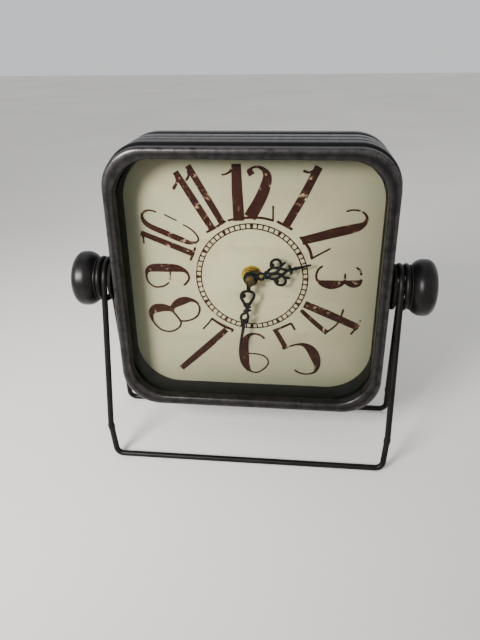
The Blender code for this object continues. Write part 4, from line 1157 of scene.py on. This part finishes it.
def build_fixings(look):
    """Turned pieces round the shaft, from the dial forwards."""
    def on_shaft(name, profile, steps=48):
        return turned(name, [(*pair, 0) for pair in profile], (0, 1, 0), (0, 0, SHAFT_RISE), steps)

    washer = on_shaft(
        "dial_washer",
        [(4.3, 9.4), (8.5, 9.4), (8.82, 9.52), (8.9, 9.7), (8.9, 10.2), (4.3, 10.2)],
        TURN_STEPS,
    )
    add_piece(washer, look["bright_brass"], "case", "brass", "brass_washer")

    collar = on_shaft(
        "dial_bush",
        [(5.5, 16.4), (5.5, 15.6), (4.0, 15.6), (4.0, BUSH_FRONT + 0.3), (3.7, BUSH_FRONT), (2.8, BUSH_FRONT),
         (2.8, 16.4)],
    )
    add_piece(collar, look["brass"], "case", "brass", "threaded_bush")

    near, far = HOUR_DEPTH + HAND_THICKNESS, BUSH_FRONT - 0.3
    socket = on_shaft(
        "hour_socket",
        [(HOUR_BORE, far), (SOCKET_RADIUS - 0.3, far), (SOCKET_RADIUS, far - 0.3), (SOCKET_RADIUS, near),
         (HOUR_BORE, near)],
    )
    add_piece(socket, look["hands"], "hour", "hand_black")

    far = MINUTE_DEPTH - 0.3
    cap = on_shaft(
        "hand_nut",
        [(0, CAP_FRONT + 0.9), (1.8, CAP_FRONT + 0.9), (1.8, far), (CAP_RADIUS - 0.1, far),
         (CAP_RADIUS, far - 0.1), (CAP_RADIUS, CAP_FRONT + 0.9), (CAP_RADIUS - 0.2, CAP_FRONT + 0.45),
         (CAP_RADIUS - 0.9, CAP_FRONT + 0.15), (CAP_RADIUS - 2.4, CAP_FRONT + 0.03), (0, CAP_FRONT)],
    )
    add_piece(cap, look["cap"], "minute", "brass", "cap_nut")


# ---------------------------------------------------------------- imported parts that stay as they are

NODE_LOOKS = {
    "glass": ["glass_pane"],
    "paper": ["dial_plate"],
    "brass": ["dial_nut", "left_knob_insert", "right_knob_insert", "minute_arbor"],
    "rubber": ["rubber_washer"],
    "moulding": ["movement_tray", "movement_cover"],
    "acetal": [
        "hour_wheel", "minute_wheel", "setting_knob", "centre_wheel", "third_wheel", "seconds_wheel",
        "intermediate_wheel",
    ],
    "steel": ["stator_plate", "quartz_crystal", "positive_contact", "negative_contact"],
    "magnet": ["motor_rotor"],
    "copper": ["drive_coil"],
    "laminate": ["circuit_board"],
    "battery": ["battery_cell"],
}


def finish_packed_parts(look):
    for key, nodes in NODE_LOOKS.items():
        for name in nodes:
            data = frame["nodes"][name].data
            data.materials.clear()
            data.materials.append(look[key])


# ---------------------------------------------------------------- camera, floor and light

def add_camera():
    """Looks down at the dial from a little to its right."""
    yaw, pitch, roll = math.radians(CAMERA_YAW), math.radians(CAMERA_PITCH), math.radians(CAMERA_ROLL)
    forward = Vector((math.sin(yaw) * math.cos(pitch), math.cos(yaw) * math.cos(pitch), -math.sin(pitch)))
    level = Vector((math.cos(yaw), -math.sin(yaw), 0))
    above = level.cross(forward)
    right = level * math.cos(roll) + above * math.sin(roll)
    up = above * math.cos(roll) - level * math.sin(roll)
    data = bpy.data.cameras.new("camera")
    data.lens = CAMERA_LENS
    data.sensor_width = 36.0
    camera = new_object("camera", data)
    turn = Matrix((right, up, -forward)).transposed().to_4x4()
    camera.matrix_world = Matrix.Translation(Vector(CAMERA_PLACE) * MM) @ turn
    bpy.context.scene.camera = camera


def add_floor(look):
    mesh = bmesh.new()
    bmesh.ops.create_grid(mesh, x_segments=2, y_segments=2, size=6.0)
    data = bpy.data.meshes.new("floor")
    mesh.to_mesh(data)
    mesh.free()
    floor = new_object("floor", data)
    floor.data.materials.append(look["cloth"])


def add_light(name, place, target, size, power, colour, spread=180.0):
    data = bpy.data.lights.new(name, "AREA")
    data.spread = math.radians(spread)
    data.shape = "DISK"
    data.size = size
    data.energy = power
    data.color = colour
    lamp = new_object(name, data)
    lamp.location = place
    lamp.rotation_euler = (Vector(target) - Vector(place)).to_track_quat("-Z", "Y").to_euler()


def add_lights():
    middle = (0.0, 0.0, 0.15)
    add_light("window", (-0.52, -0.78, 0.60), (-0.15, 0.0, 0.15), 0.42, 3.5, (1.0, 0.98, 0.95), 62)
    add_light("room", (1.3, -0.9, 0.9), middle, 1.2, 0.5, (1.0, 0.93, 0.86))
    add_light("ceiling", (-0.3, 0.7, 1.4), middle, 1.2, 1.4, (0.95, 0.98, 1.0))
    world = bpy.data.worlds.new("pale_room")
    world.use_nodes = True
    background = world.node_tree.nodes["Background"]
    background.inputs["Color"].default_value = (0.80, 0.82, 0.84, 1.0)
    background.inputs["Strength"].default_value = 0.95
    bpy.context.scene.world = world


# ---------------------------------------------------------------- the scene

look = build_materials()
add_camera()
add_floor(look)
add_lights()
finish_packed_parts(look)
build_bezel(look)
build_band(look)
build_spacer(look)
build_back(look)
for side, side_name in ((-1, "left"), (1, "right")):
    build_clamp(look, side, side_name)
    build_hairpin(look, side_name, side)
build_foot(look, "front", -1, FRONT_FOOT_HALF, FRONT_LEG_X)
build_foot(look, "rear", 1, REAR_FOOT_HALF, REAR_LEG_X)
build_numerals(look)
build_minute_track(look)
build_hands(look)
build_fixings(look)
